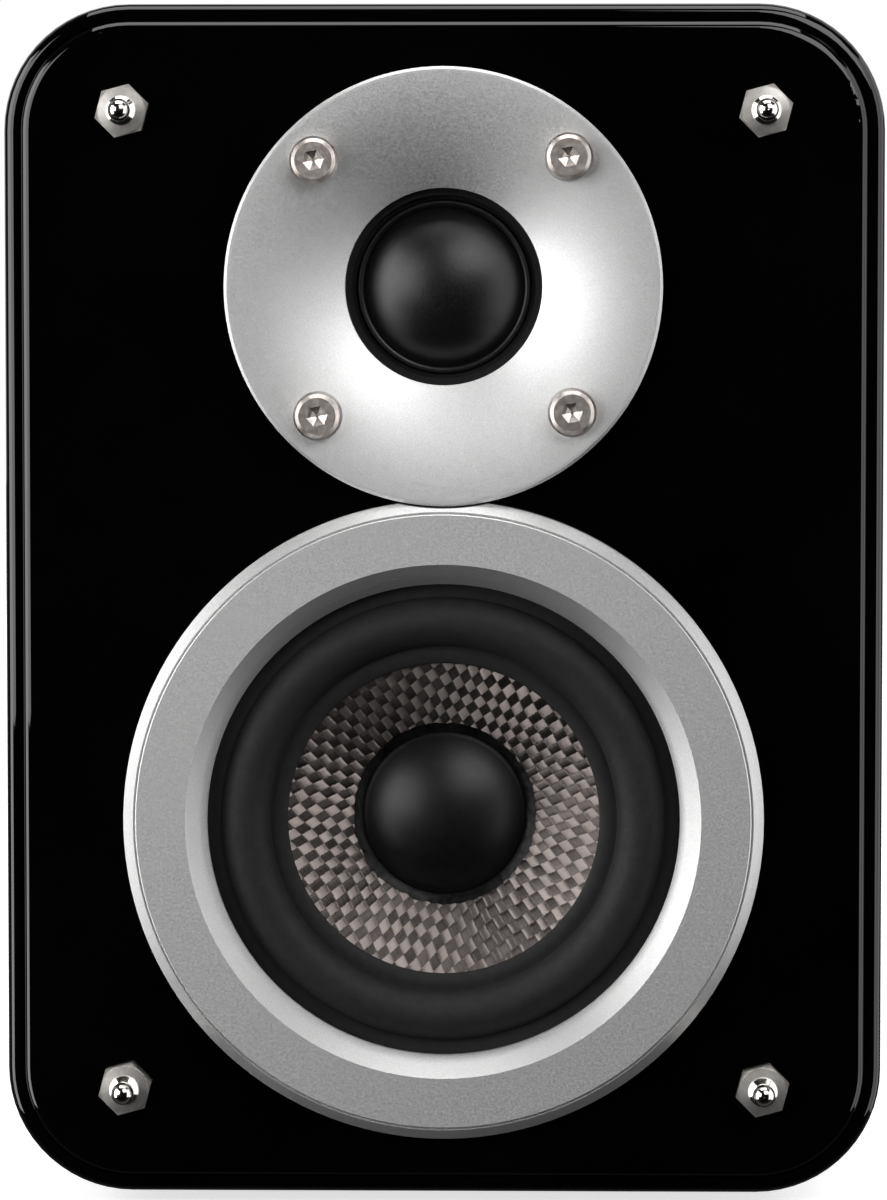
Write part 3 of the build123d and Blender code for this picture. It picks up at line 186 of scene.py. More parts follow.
class Shader:
    """A Principled material that is built up one texture at a time."""

    def __init__(self, name, colour, roughness, **sockets):
        self.material = bpy.data.materials.new(name)
        self.material.use_nodes = True
        self.tree = self.material.node_tree
        self.bsdf = self.tree.nodes["Principled BSDF"]
        self.bsdf.inputs["Base Color"].default_value = (*colour, 1)
        self.bsdf.inputs["Roughness"].default_value = roughness
        for key, value in sockets.items():
            self.bsdf.inputs[key.replace("_", " ")].default_value = value
        self.place = self.node("TexCoord").outputs["Object"]

    def node(self, kind, **values):
        """A new shader node of a kind, with its settings."""
        made = self.tree.nodes.new("ShaderNode" + kind)
        for key, value in values.items():
            setattr(made, key, value)
        return made

    def link(self, source, target):
        self.tree.links.new(source, target)

    def stretched(self, scale):
        """Object coordinates scaled by a number for each axis."""
        mapping = self.node("Mapping")
        mapping.inputs["Scale"].default_value = scale
        self.link(self.place, mapping.inputs["Vector"])
        return mapping.outputs["Vector"]

    def noise(self, scale, detail=2.0, roughness=0.5, vector=None):
        """A noise texture's value, in object coordinates unless a vector is given."""
        texture = self.node("TexNoise")
        texture.inputs["Scale"].default_value = scale
        texture.inputs["Detail"].default_value = detail
        texture.inputs["Roughness"].default_value = roughness
        self.link(vector or self.place, texture.inputs["Vector"])
        return texture.outputs["Fac"]

    def between(self, value, low, high, start=0.3, end=0.7):
        """Map a texture's value to a range of numbers."""
        mapped = self.node("MapRange")
        for key, number in (("From Min", start), ("From Max", end), ("To Min", low), ("To Max", high)):
            mapped.inputs[key].default_value = number
        self.link(value, mapped.inputs["Value"])
        return mapped.outputs["Result"]

    def tint(self, value, dark, light, start=0.3, end=0.7):
        """Colour the surface between two colours by a texture's value."""
        ramp = self.node("ValToRGB")
        ramp.color_ramp.elements[0].position = start
        ramp.color_ramp.elements[0].color = (*dark, 1)
        ramp.color_ramp.elements[1].position = end
        ramp.color_ramp.elements[1].color = (*light, 1)
        self.link(value, ramp.inputs["Fac"])
        self.link(ramp.outputs["Color"], self.bsdf.inputs["Base Color"])

    def rough(self, value, low, high):
        """Vary the roughness between two numbers by a texture's value."""
        self.link(self.between(value, low, high), self.bsdf.inputs["Roughness"])

    def bump(self, value, height):
        """Raise the surface by a texture, with its full height in millimetres. Bumps add up."""
        bump = self.node("Bump")
        bump.inputs["Strength"].default_value = 1.0
        bump.inputs["Distance"].default_value = height * MM
        self.link(value, bump.inputs["Height"])
        already = self.bsdf.inputs["Normal"].links
        if already:
            self.link(already[0].from_socket, bump.inputs["Normal"])
        self.link(bump.outputs["Normal"], self.bsdf.inputs["Normal"])


def plain_floor():
    """A pale paper sheet that glows a little, so that it meets the white world softly."""
    glow = {"Emission_Color": (1, 1, 1, 1), "Emission_Strength": 0.7}
    made = Shader("pale_floor", (0.86, 0.86, 0.86), 0.6, **glow)
    made.tint(made.noise(3.0), (0.84, 0.84, 0.84), (0.88, 0.88, 0.88))
    return made.material


def lacquer():
    """Black piano lacquer: deep, very smooth, with the faint orange peel of a sprayed coat."""
    coat = {"Coat_Weight": 1.0, "Coat_Roughness": 0.02, "Specular_IOR_Level": 0.0}
    made = Shader("black_lacquer", (0.0006, 0.0006, 0.0006), 0.3, **coat)
    made.tint(made.noise(45), (0.0004, 0.0004, 0.0004), (0.0010, 0.0009, 0.0009))
    made.rough(made.noise(260, 3), 0.25, 0.35)
    made.bump(made.noise(420, 1), 0.0008)
    return made.material


def satin_aluminium():
    """Bead-blasted, clear anodised aluminium with a fine sparkle."""
    made = Shader("satin_aluminium", (0.74, 0.74, 0.74), 0.50, Metallic=1.0)
    made.tint(made.noise(5200, 2, 0.7), (0.66, 0.66, 0.66), (0.81, 0.81, 0.805), 0.35, 0.65)
    made.rough(made.noise(2400, 3, 0.6), 0.46, 0.56)
    made.bump(made.noise(6500, 2, 0.6), 0.006)
    return made.material


# How far forward a grille stud's dull collar ends and its polished cone begins
STUD_COLLAR_FRONT = 2.65
STUD_CONE = 3.1


def chrome():
    """Bright nickel plate, slightly warm, polished on the studs' balls and duller on their nuts."""
    made = Shader("chrome", (0.74, 0.71, 0.68), 0.18, Metallic=1.0)
    made.tint(made.noise(900, 3), (0.66, 0.63, 0.60), (0.82, 0.79, 0.76))
    parts = made.node("SeparateXYZ")
    made.link(made.place, parts.inputs["Vector"])
    cone, collar = FACE_Y - STUD_CONE * MM, FACE_Y - STUD_COLLAR_FRONT * MM
    made.rough(made.between(parts.outputs["Y"], 0.0, 1.0, cone, collar), 0.13, 0.40)
    made.bump(made.noise(2200, 2), 0.004)
    return made.material


def screw_steel():
    """Plated screw heads that have been through a tumbler: warm, soft reflections."""
    made = Shader("screw_steel", (0.78, 0.74, 0.71), 0.36, Metallic=1.0)
    made.tint(made.noise(1100, 3), (0.60, 0.53, 0.50), (0.80, 0.74, 0.70))
    made.rough(made.noise(1500, 3), 0.34, 0.44)
    made.bump(made.noise(2600, 3), 0.002)
    return made.material


def steel():
    """Zinc-plated steel, a little mottled."""
    made = Shader("steel", (0.55, 0.54, 0.52), 0.32, Metallic=1.0)
    made.tint(made.noise(600, 4), (0.42, 0.41, 0.40), (0.62, 0.61, 0.59))
    made.rough(made.noise(900, 3), 0.25, 0.42)
    made.bump(made.noise(3000, 2), 0.004)
    return made.material


def rubber():
    """Moulded butyl rubber with a dusty satin surface."""
    made = Shader("rubber", (0.009, 0.009, 0.009), 0.66, Specular_IOR_Level=0.3)
    made.tint(made.noise(700, 4, 0.6), (0.006, 0.006, 0.006), (0.012, 0.012, 0.012))
    made.rough(made.noise(1600, 3), 0.60, 0.72)
    made.bump(made.noise(5000, 2), 0.006)
    return made.material


def dust_cap_rubber():
    """The dust cap's smoother, slightly shiny coating."""
    made = Shader("dust_cap_coating", (0.002, 0.002, 0.002), 0.4, Specular_IOR_Level=0.42)
    made.tint(made.noise(900, 4, 0.6), (0.001, 0.001, 0.001), (0.004, 0.004, 0.004))
    made.rough(made.noise(2500, 3), 0.36, 0.44)
    made.bump(made.noise(4200, 2), 0.004)
    return made.material


# A wave texture of scale 1 along an axis repeats after this many metres
WAVE_LENGTH = math.pi / 10
SPIDER_THREAD = 3.77


def crossed_threads(made):
    """Two crossing sets of the spider cloth's threads, in object X and Z."""
    waves = []
    for axis in ("X", "Z"):
        wave = made.node("TexWave", wave_type="BANDS", bands_direction=axis)
        wave.inputs["Scale"].default_value = WAVE_LENGTH / (SPIDER_THREAD * MM)
        wave.inputs["Distortion"].default_value = 0.6
        wave.inputs["Detail"].default_value = 1.0
        made.link(made.place, wave.inputs["Vector"])
        waves.append(wave.outputs["Fac"])
    crossed = made.node("Math", operation="MAXIMUM")
    made.link(waves[0], crossed.inputs[0])
    made.link(waves[1], crossed.inputs[1])
    return crossed.outputs["Value"]


def dome_cloth():
    """Coated silk: fine pits that show through a tacky black coating."""
    made = Shader("dome_cloth", (0.002, 0.002, 0.002), 0.36)
    pits = made.noise(2400, 4, 0.8)
    made.tint(pits, (0.001, 0.001, 0.001), (0.005, 0.005, 0.005), 0.35, 0.7)
    made.rough(made.noise(2600, 3), 0.30, 0.40)
    made.bump(pits, 0.03)
    return made.material


def spider_cloth():
    """Resin-stiffened amber cloth."""
    made = Shader("spider_cloth", (0.55, 0.40, 0.18), 0.7)
    threads = crossed_threads(made)
    made.tint(threads, (0.42, 0.29, 0.12), (0.66, 0.50, 0.25), 0.2, 0.9)
    made.rough(made.noise(900, 2), 0.6, 0.8)
    made.bump(threads, 0.08)
    return made.material


# The scale of the strands' noise across a tow, along it, and from one tow to the next
STRAND_GRAIN = (9000, 500, 1)


def carbon():
    """Carbon tows in clear resin. The mesh brings the direction across each tow, along which it shines."""
    made = Shader("carbon_weave", (0.2, 0.17, 0.16), 0.5, Metallic=0.85, Anisotropic=0.95)
    across = made.node("Attribute", attribute_name="tow_across")
    made.link(across.outputs["Vector"], made.bsdf.inputs["Tangent"])
    place = made.node("Attribute", attribute_name="tow_place")
    fibres = made.node("Mapping")
    fibres.inputs["Scale"].default_value = STRAND_GRAIN
    made.link(place.outputs["Vector"], fibres.inputs["Vector"])
    strands = made.noise(1.0, 3, 0.6, fibres.outputs["Vector"])
    # Each tow's tone from the mesh holds painted light and shade: lighter warp, darker weft, dark dives
    tone_and_painted_light = made.node("Attribute", attribute_name="tow_tone_and_painted_light")
    mixed = made.node("Math", operation="MULTIPLY_ADD")
    made.link(strands, mixed.inputs[0])
    mixed.inputs[1].default_value = 0.3
    made.link(tone_and_painted_light.outputs["Fac"], mixed.inputs[2])
    made.tint(mixed.outputs["Value"], (0.02, 0.018, 0.017), (0.62, 0.54, 0.51), 0.1, 1.0)
    made.rough(strands, 0.46, 0.54)
    made.bump(strands, 0.008)
    return made.material


def simple(name, dark, light, low, high, grain, height, **sockets):
    """A moulded, painted or plated finish: two shades, two roughnesses and a fine grain."""
    made = Shader(name, light, high, **sockets)
    made.tint(made.noise(grain, 4, 0.6), dark, light)
    made.rough(made.noise(grain * 1.7, 3), low, high)
    made.bump(made.noise(grain * 3, 2), height)
    return made.material


def clamp_plastic_painted_shade():
    """Dull black plastic that hardly shines, darker than the rest: painted shade of the tweeter's throat."""
    made = Shader("clamp_plastic_painted_shade", (0.003, 0.003, 0.003), 0.5, Specular_IOR_Level=0.25)
    made.tint(made.noise(1400, 4, 0.6), (0.002, 0.002, 0.002), (0.005, 0.005, 0.005))
    made.rough(made.noise(2300, 3), 0.42, 0.55)
    return made.material


COIL_WIRE_SCALE = 120


def winding():
    """Enamelled copper wire, wound in close turns along the coil's axis."""
    made = Shader("winding", (0.70, 0.30, 0.13), 0.3, Metallic=1.0)
    wave = made.node("TexWave", wave_type="BANDS", bands_direction="DIAGONAL")
    wave.inputs["Scale"].default_value = COIL_WIRE_SCALE
    made.link(made.stretched((0, 1, 1)), wave.inputs["Vector"])
    made.tint(wave.outputs["Fac"], (0.38, 0.13, 0.05), (0.78, 0.36, 0.17), 0.1, 0.7)
    made.rough(made.noise(700, 3), 0.22, 0.40)
    made.bump(wave.outputs["Fac"], 0.12)
    return made.material


MATERIALS = {
    "black_lacquer": lacquer(),
    "board_wood": simple("fibreboard", (0.36, 0.26, 0.17), (0.50, 0.38, 0.27), 0.7, 0.85, 1200, 0.03),
    "foam": simple("foam", (0.035, 0.035, 0.038), (0.075, 0.075, 0.08), 0.85, 0.95, 1500, 0.25),
    "rubber": rubber(),
    "chrome": chrome(),
    "satin_aluminium": satin_aluminium(),
    "steel": steel(),
    "black_plastic": simple(
        "black_plastic", (0.010, 0.010, 0.010), (0.020, 0.020, 0.020), 0.38, 0.5, 1400, 0.012
    ),
    "basket_paint": simple(
        "basket_paint", (0.014, 0.014, 0.014), (0.026, 0.026, 0.026), 0.35, 0.5, 800, 0.01
    ),
    "ferrite": simple("ferrite", (0.035, 0.035, 0.038), (0.075, 0.075, 0.08), 0.45, 0.65, 500, 0.02),
    "carbon_weave": carbon(),
    "cloth": dome_cloth(),
    "spider_cloth": spider_cloth(),
    "copper": winding(),
    "kapton": simple("amber_film", (0.42, 0.20, 0.05), (0.62, 0.32, 0.09), 0.22, 0.35, 600, 0.003),
    "brass_plate": simple(
        "brass_plate", (0.66, 0.46, 0.18), (0.88, 0.66, 0.30), 0.14, 0.28, 900, 0.003, Metallic=1.0
    ),
    "red_plastic": simple(
        "red_plastic", (0.36, 0.006, 0.006), (0.56, 0.012, 0.010), 0.22, 0.36, 700, 0.004
    ),
    "circuit_board": simple(
        "solder_mask", (0.012, 0.09, 0.03), (0.025, 0.16, 0.06), 0.3, 0.45, 400, 0.01
    ),
    "film_capacitor": simple(
        "polyester_wrap", (0.55, 0.42, 0.08), (0.75, 0.60, 0.16), 0.2, 0.35, 300, 0.006
    ),
    "ceramic": simple("ceramic", (0.68, 0.66, 0.60), (0.84, 0.83, 0.78), 0.6, 0.8, 900, 0.02),
    "wire": simple("wire_jacket", (0.015, 0.015, 0.018), (0.035, 0.035, 0.04), 0.3, 0.45, 500, 0.004),
    "tinsel": simple("tinsel", (0.45, 0.30, 0.16), (0.70, 0.50, 0.30), 0.3, 0.5, 4000, 0.03, Metallic=1.0),
}
SCREW_STEEL = screw_steel()
SLOTS = {part["node"]: part["material_slot"] for part in frame["record"]["subparts"]}


def dress_cad_nodes():
    """Give every carried-over CAD node its slot's procedural material."""
    for name, node in frame["nodes"].items():
        node.data.materials.clear()
        node.data.materials.append(MATERIALS[SLOTS[name]])
    frame["nodes"]["tweeter_screws"].data.materials[0] = SCREW_STEEL
    # The clamp ring's plastic is darker, as painted shade of the tweeter's throat
    frame["nodes"]["tweeter_clamp_ring"].data.materials[0] = clamp_plastic_painted_shade()


# ---------------------------------------------------------------- mesh work


# Points nearer than this many metres are one point
POINT_MERGE = 1e-7


def new_piece(name, mesh, material, sharp):
    """Link a mesh as a piece: closed at its poles, normals outwards, smooth below an angle in degrees."""
    worked = bmesh.new()
    worked.from_mesh(mesh)
    bmesh.ops.remove_doubles(worked, verts=worked.verts, dist=POINT_MERGE)
    loose = [edge for edge in worked.edges if not edge.link_faces]
    bmesh.ops.delete(worked, geom=loose, context="EDGES")
    bmesh.ops.recalc_face_normals(worked, faces=worked.faces)
    worked.to_mesh(mesh)
    worked.free()
    mesh.shade_smooth()
    mesh.set_sharp_from_angle(angle=math.radians(sharp))
    piece = bpy.data.objects.new(name, mesh)
    bpy.context.scene.collection.objects.link(piece)
    mesh.materials.append(material)
    return piece


def ring_faces(rings, segments):
    """Quads between neighbouring rings of points, and from the last ring to the first."""
    faces = []
    for ring in range(rings):
        here, there = ring * segments, (ring + 1) % rings * segments
        for step in range(segments):
            after = (step + 1) % segments
            faces.append((here + step, here + after, there + after, there + step))
    return faces


def tube_faces(first, rings, corners):
    """Quads along an open tube of rings, whose points count from a first one, and a cap on each end."""
    faces = []
    for ring in range(rings - 1):
        here = first + ring * corners
        there = here + corners
        for corner in range(corners):
            after = (corner + 1) % corners
            faces.append((here + corner, here + after, there + after, there + corner))
    last = first + (rings - 1) * corners
    faces.append(tuple(range(first, first + corners)))
    faces.append(tuple(range(last, last + corners)))
    return faces


def turns(segments):
    """Angles round an axis, in radians."""
    return np.linspace(0, 2 * math.pi, segments, endpoint=False)


def turned_mesh(name, radius, forward, height):
    """A ring-shaped mesh about a driver's axis, from a row of radii and a row of distances for each ring."""
    rings, segments = radius.shape
    angle = turns(segments)
    points = np.stack([radius * np.cos(angle), -forward, radius * np.sin(angle)], -1) * MM
    points += (0, FACE_Y, height)
    mesh = bpy.data.meshes.new(name)
    mesh.from_pydata(points.reshape(-1, 3).tolist(), [], ring_faces(rings, segments))
    return mesh


def lathe(name, outline, height, material, segments, sharp):
    """A closed outline of (radius, forward) points, turned about a driver's axis."""
    radius, forward = np.repeat(np.array(outline).T[:, :, None], segments, 2)
    return new_piece(name, turned_mesh(name, radius, forward, height), material, sharp)


def arc(centre, radius, start, end, steps):
    """Points of an arc in an outline, with angles in degrees from outwards towards forwards."""
    angles = [math.radians(start + (end - start) * i / steps) for i in range(steps + 1)]
    return [(centre[0] + radius * math.cos(a), centre[1] + radius * math.sin(a)) for a in angles]


def rolls_with(piece):
    """Bake a ring's place into its mesh, without letting it flex between the moving and the fixed body."""
    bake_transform(piece)


# ---------------------------------------------------------------- woofer

BASKET_FRONT = -1.7
RUBBER = 0.7
ROLL_OUTER = 35.2
ROLL_INNER = 28.0
ROLL_FOOT = 1.0
ROLL_FILLET = 0.55
ROLL_FILLET_RISE = -0.08
SURROUND_INNER = 24.9
SURROUND_OUTER = 41.5
NECK_RADIUS = 12.9
NECK_FORWARD = -10.9
CONE_PAPER = 0.5
CONE_STEP = 0.1
CONE_SLOPE = (BASKET_FRONT - NECK_FORWARD) / (SURROUND_INNER - NECK_RADIUS)


def cone_front(radius):
    """How far forward the cone's face is at a radius."""
    return NECK_FORWARD + CONE_SLOPE * (np.minimum(radius, SURROUND_INNER) - NECK_RADIUS)


def surround():
    """Half-roll rubber surround with soft inner and outer feet."""
    middle = (ROLL_OUTER + ROLL_INNER) / 2
    half = (ROLL_OUTER - ROLL_INNER) / 2
    level = BASKET_FRONT + RUBBER / 2
    front = level + RUBBER / 2
    fillet = front + ROLL_FILLET_RISE
    top = [(SURROUND_INNER, level + 0.1), (SURROUND_INNER + 0.25, front)]
    top += [(ROLL_INNER - ROLL_FOOT, front), (ROLL_INNER - ROLL_FILLET, fillet)]
    top += arc((middle, level), half + RUBBER / 2, 176, 4, 44)
    top += [(ROLL_OUTER + ROLL_FILLET, fillet), (ROLL_OUTER + ROLL_FOOT, front)]
    top += [(SURROUND_OUTER, front)]
    under = [(SURROUND_OUTER, BASKET_FRONT), (ROLL_OUTER - RUBBER / 2, BASKET_FRONT)]
    under += arc((middle, level), half - RUBBER / 2, 6, 174, 24)
    under += [(ROLL_INNER + RUBBER / 2, BASKET_FRONT), (SURROUND_INNER, BASKET_FRONT)]
    piece = lathe("rubber_surround", top + under, WOOFER_Z, MATERIALS["rubber"], 320, 50)
    rolls_with(piece)
    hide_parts("woofer_surround")


# The cloth: a tow's width, the weave's turn and relief, and how the pressing stretched and swayed it
TOW = 1.43
TOW_TURN = math.radians(33.8)
TOW_HEIGHT = 0.11
DRAW_RADIUS = 20
DRAW_POWER = 0.775
SWAY = 0.16
SIDE_ROUNDING = 0.7
# A radius that stands in for none at the axis
NEARLY_NONE = 1e-6

# The tows' tones where they cross, which hold painted light and shade, and how much they vary
# The warp is painted lighter and the weft darker: painted light and shade of the weave's sheen
WARP_PAINTED_LIGHT = 0.38
WEFT_PAINTED_SHADE = 0.06
SHADE_SPREAD = 0.10
SHADES = 4096
# How far from its middle a tow dives and darkens with painted shade, and how dark that shade is
PAINTED_DIVE_SHADE_FROM = 0.86
PAINTED_DIVE_SHADE = 0.5
STRAND_SHIFT = 0.37

WOVEN_RINGS = 96
WOVEN_SEGMENTS = 1100
WOVEN_INNER = 14.0
WOVEN_EDGE = 0.01
PLAIN_NECK = 13.6


def drawn_cloth(x, z):
    """Where a point of the cone lay in the flat cloth: the pressing draws the cloth out along the radius."""
    radius = np.maximum(np.hypot(x, z), NEARLY_NONE)
    pull = (radius / DRAW_RADIUS) ** (DRAW_POWER - 1)
    sway_x = SWAY * np.sin(0.55 * x + 0.8) * np.sin(0.47 * z + 0.3)
    sway_z = SWAY * np.sin(0.43 * x - 0.6) * np.sin(0.61 * z + 1.1)
    return x * pull + sway_x, z * pull + sway_z


def tow_cells(x, z):
    """For places on the face: whether the warp is on top, and the place across and along it, in tows."""
    x, z = drawn_cloth(x, z)
    u = (x * math.cos(TOW_TURN) + z * math.sin(TOW_TURN)) / TOW
    v = (-x * math.sin(TOW_TURN) + z * math.cos(TOW_TURN)) / TOW
    warp = np.sin(math.pi * u) * np.sin(math.pi * v) > 0
    across = np.where(warp, v, u)
    along = np.where(warp, u, v)
    return warp, across, along


def from_middle(tows):
    """How far a place is from a tow's middle: 0 there and 1 at its edges."""
    return 2 * np.abs(tows - np.floor(tows) - 0.5)


def tow_height(x, z):
    """Relief of a plain weave: flat tows with rounded sides that dive at their ends."""
    _, across, along = tow_cells(x, z)
    side, end = from_middle(across), from_middle(along)
    return TOW_HEIGHT * (1 - SIDE_ROUNDING * side**5) * (1 - end**3)


def woven_cone():
    """The cone with its woven face in relief, and a plain back."""
    normal_out = -CONE_SLOPE / math.hypot(1, CONE_SLOPE)
    normal_forward = 1 / math.hypot(1, CONE_SLOPE)
    face = np.linspace(WOVEN_INNER, SURROUND_INNER, WOVEN_RINGS)
    radii = np.concatenate([[NECK_RADIUS, PLAIN_NECK], face, [SURROUND_INNER + CONE_STEP, ROLL_INNER]])
    angle = turns(WOVEN_SEGMENTS)
    radius = np.repeat(radii[:, None], WOVEN_SEGMENTS, 1)
    woven = (radius > WOVEN_INNER - WOVEN_EDGE) & (radius < SURROUND_INNER + WOVEN_EDGE)
    relief = tow_height(radius * np.cos(angle), radius * np.sin(angle))
    rise = np.where(woven, relief - TOW_HEIGHT, -TOW_HEIGHT)
    forward = cone_front(radius) + rise * normal_forward
    radius = radius + np.where(woven, rise * normal_out, 0)
    back = np.array([
        (ROLL_INNER, BASKET_FRONT - CONE_PAPER),
        (SURROUND_INNER + 2 * CONE_STEP, BASKET_FRONT - CONE_PAPER),
        (NECK_RADIUS, NECK_FORWARD - 1.25 * CONE_PAPER),
    ])
    back_radius, back_forward = np.repeat(back.T[:, :, None], WOVEN_SEGMENTS, 2)
    radius = np.concatenate([radius, back_radius])
    forward = np.concatenate([forward, back_forward])
    mesh = turned_mesh("woven_cone", radius, forward, WOOFER_Z)
    piece = new_piece("woven_cone", mesh, MATERIALS["carbon_weave"], 60)
    add_tow_facts(mesh)
    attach(piece, "woofer_motion")
    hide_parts("woofer_cone")


def add_tow_facts(mesh):
    """Each face's tow direction, the place across and along it, and its tone with painted light and shade.
    """
    count = len(mesh.polygons)
    centres = np.empty(count * 3, np.float32)
    mesh.polygons.foreach_get("center", centres)
    centres = centres.reshape(-1, 3)
    x, z = centres[:, 0] / MM, (centres[:, 2] - WOOFER_Z) / MM
    warp, across, along = tow_cells(x, z)
    cos, sin = math.cos(TOW_TURN), math.sin(TOW_TURN)
    flat = np.where(warp[:, None], (cos, 0, sin), (-sin, 0, cos))
    out = np.stack([x, 0 * x, z], -1) / np.maximum(np.hypot(x, z), NEARLY_NONE)[:, None]
    normal = CONE_SLOPE * -out + np.array([0, -1, 0])
    normal /= np.linalg.norm(normal, axis=1)[:, None]
    tow = flat - (flat * normal).sum(1)[:, None] * normal
    tow /= np.linalg.norm(tow, axis=1)[:, None]
    tow_across = np.cross(normal, tow)
    place = np.stack([across * TOW * MM, along * TOW * MM, np.floor(across) * STRAND_SHIFT], -1)
    draw = np.random.default_rng(7).random(SHADES)
    # Scatter the cells among the drawn shades, so that neighbours have different ones
    cell = (np.floor(across) * 31 + np.floor(along) * 57 + warp * 977).astype(int) % SHADES
    # Painted light and shade: warp tows lighter, weft tows darker, with a random tone on top
    tone_and_painted_light = np.where(warp, WARP_PAINTED_LIGHT, WEFT_PAINTED_SHADE) + SHADE_SPREAD * (draw[cell] - 0.5)
    # Painted shade where a tow dives
    tone_and_painted_light = np.where(from_middle(along) > PAINTED_DIVE_SHADE_FROM, PAINTED_DIVE_SHADE * tone_and_painted_light, tone_and_painted_light)
    for name, kind, key, values in (
        ("tow_across", "FLOAT_VECTOR", "vector", tow_across),
        ("tow_place", "FLOAT_VECTOR", "vector", place),
        ("tow_tone_and_painted_light", "FLOAT", "value", tone_and_painted_light),
    ):
        attribute = mesh.attributes.new(name, kind, "FACE")
        attribute.data.foreach_set(key, values.astype(np.float32).ravel())


CAP_RADIUS = 13.0
CAP_HEIGHT = 5.0
CAP_THICK = 0.5
CAP_SEAT = NECK_FORWARD + 0.55
# The rolled edge: its points out from the cap's radius and forward of its seat, and the degrees of the
# cap's arc that it takes in front and behind
CAP_ROLL = ((0.03, 0.1), (0.12, -0.02), (0.2, -0.22), (-0.3, -0.25))
CAP_ROLL_FRONT = 1.2
CAP_ROLL_BACK = 1.5


def dust_cap():
    """Convex cap with a rolled edge."""
    sphere = (CAP_RADIUS**2 + CAP_HEIGHT**2) / (2 * CAP_HEIGHT)
    centre = CAP_SEAT + CAP_HEIGHT - sphere
    edge = math.degrees(math.acos(CAP_RADIUS / sphere))
    outline = arc((0, centre), sphere, 90, edge + CAP_ROLL_FRONT, 40)
    outline += [(CAP_RADIUS + out, CAP_SEAT + forward) for out, forward in CAP_ROLL]
    outline += arc((0, centre), sphere - CAP_THICK, edge + CAP_ROLL_BACK, 90, 20)
    cap = lathe("dust_cap", outline, WOOFER_Z, dust_cap_rubber(), 240, 60)
    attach(cap, "woofer_motion")
    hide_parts("woofer_dust_cap")


def glue():
    """Black glue that hardly shines, with soft lumps."""
    made = Shader("glue", (0.004, 0.004, 0.004), 0.3, Specular_IOR_Level=0.12)
    made.tint(made.noise(500, 3), (0.002, 0.002, 0.002), (0.008, 0.008, 0.008))
    made.rough(made.noise(900, 2), 0.2, 0.45)
    made.bump(made.noise(1500, 3), 0.03)
    return made.material


# The bead of glue: how far out it runs and how high it stands, and how much either varies
GLUE_RADIUS = 14.7
GLUE_RAGGED = 0.32
GLUE_HEIGHT = 0.30
GLUE_LUMPS = 0.10
GLUE_ABOVE_CONE = 0.03
GLUE_UNDER_CAP = 0.1
GLUE_SUNK_OUTSIDE = 0.25
GLUE_SUNK_INSIDE = 0.45
GLUE_SEGMENTS = 600
GLUE_ROWS = 10
GLUE_WAVES = range(3, 70)


def glue_bead():
    """The glue that runs out round the cap: its face is lumpy and its outer edge is ragged."""
    draw = np.random.default_rng(3)
    angle = turns(GLUE_SEGMENTS)
    ragged, lumps = np.zeros(GLUE_SEGMENTS), np.zeros((GLUE_ROWS, GLUE_SEGMENTS))
    shift = np.linspace(0, 4, GLUE_ROWS)[:, None]
    for wave in GLUE_WAVES:
        ragged += np.cos(wave * angle + draw.random() * 2 * math.pi) / wave**0.55
        lumps += np.cos(wave * angle + shift * draw.random() * 3) / wave**0.5
    ragged *= GLUE_RAGGED / np.abs(ragged).max()
    lumps *= GLUE_LUMPS / np.abs(lumps).max()
    inner = CAP_RADIUS - GLUE_UNDER_CAP
    rings = []
    for row, share in enumerate(np.linspace(0, 1, GLUE_ROWS)):
        reach = inner + (GLUE_RADIUS + ragged - inner) * share
        lift = GLUE_HEIGHT * math.cos(share * math.pi / 2) + lumps[row] * math.sin(share * math.pi)
        rings.append((reach, cone_front(reach) + lift + GLUE_ABOVE_CONE))
    (first_reach, first_forward), (last_reach, last_forward) = rings[0], rings[-1]
    rings.append((last_reach, last_forward - GLUE_SUNK_OUTSIDE))
    rings.append((first_reach, first_forward - GLUE_SUNK_INSIDE))
    radius, forward = np.array(rings).transpose(1, 0, 2)
    bead = new_piece("glue_bead", turned_mesh("glue_bead", radius, forward, WOOFER_Z), glue(), 60)
    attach(bead, "woofer_motion")


SPIDER_LEVEL = -21
SPIDER_WAVES = 5
SPIDER_WAVE_HEIGHT = 0.8
SPIDER_WAVE_STEPS = 16
SPIDER_THICK = 0.4
SPIDER_OUTER = 28.2
SPIDER_RIM = 31.5


def spider():
    """Corrugated centring spider."""
    steps = SPIDER_WAVE_STEPS * SPIDER_WAVES
    level = SPIDER_LEVEL + SPIDER_THICK
    top = []
    for i in range(steps + 1):
        radius = NECK_RADIUS + (SPIDER_OUTER - NECK_RADIUS) * i / steps
        top.append((radius, level + SPIDER_WAVE_HEIGHT * math.sin(2 * math.pi * SPIDER_WAVES * i / steps)))
    top.append((SPIDER_RIM, level))
    under = [(radius, forward - SPIDER_THICK) for radius, forward in reversed(top)]
    piece = lathe("corrugated_spider", top + under, WOOFER_Z, MATERIALS["spider_cloth"], 160, 70)
    rolls_with(piece)
    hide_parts("woofer_spider")


# ---------------------------------------------------------------- tweeter

DOME_RADIUS = 12.7
DOME_BASE = -5.1
DOME_HEIGHT = 5.5
DOME_CLOTH = 0.3
TWEETER_ROLL = 0.65
TWEETER_ROLL_RIM = 17.0


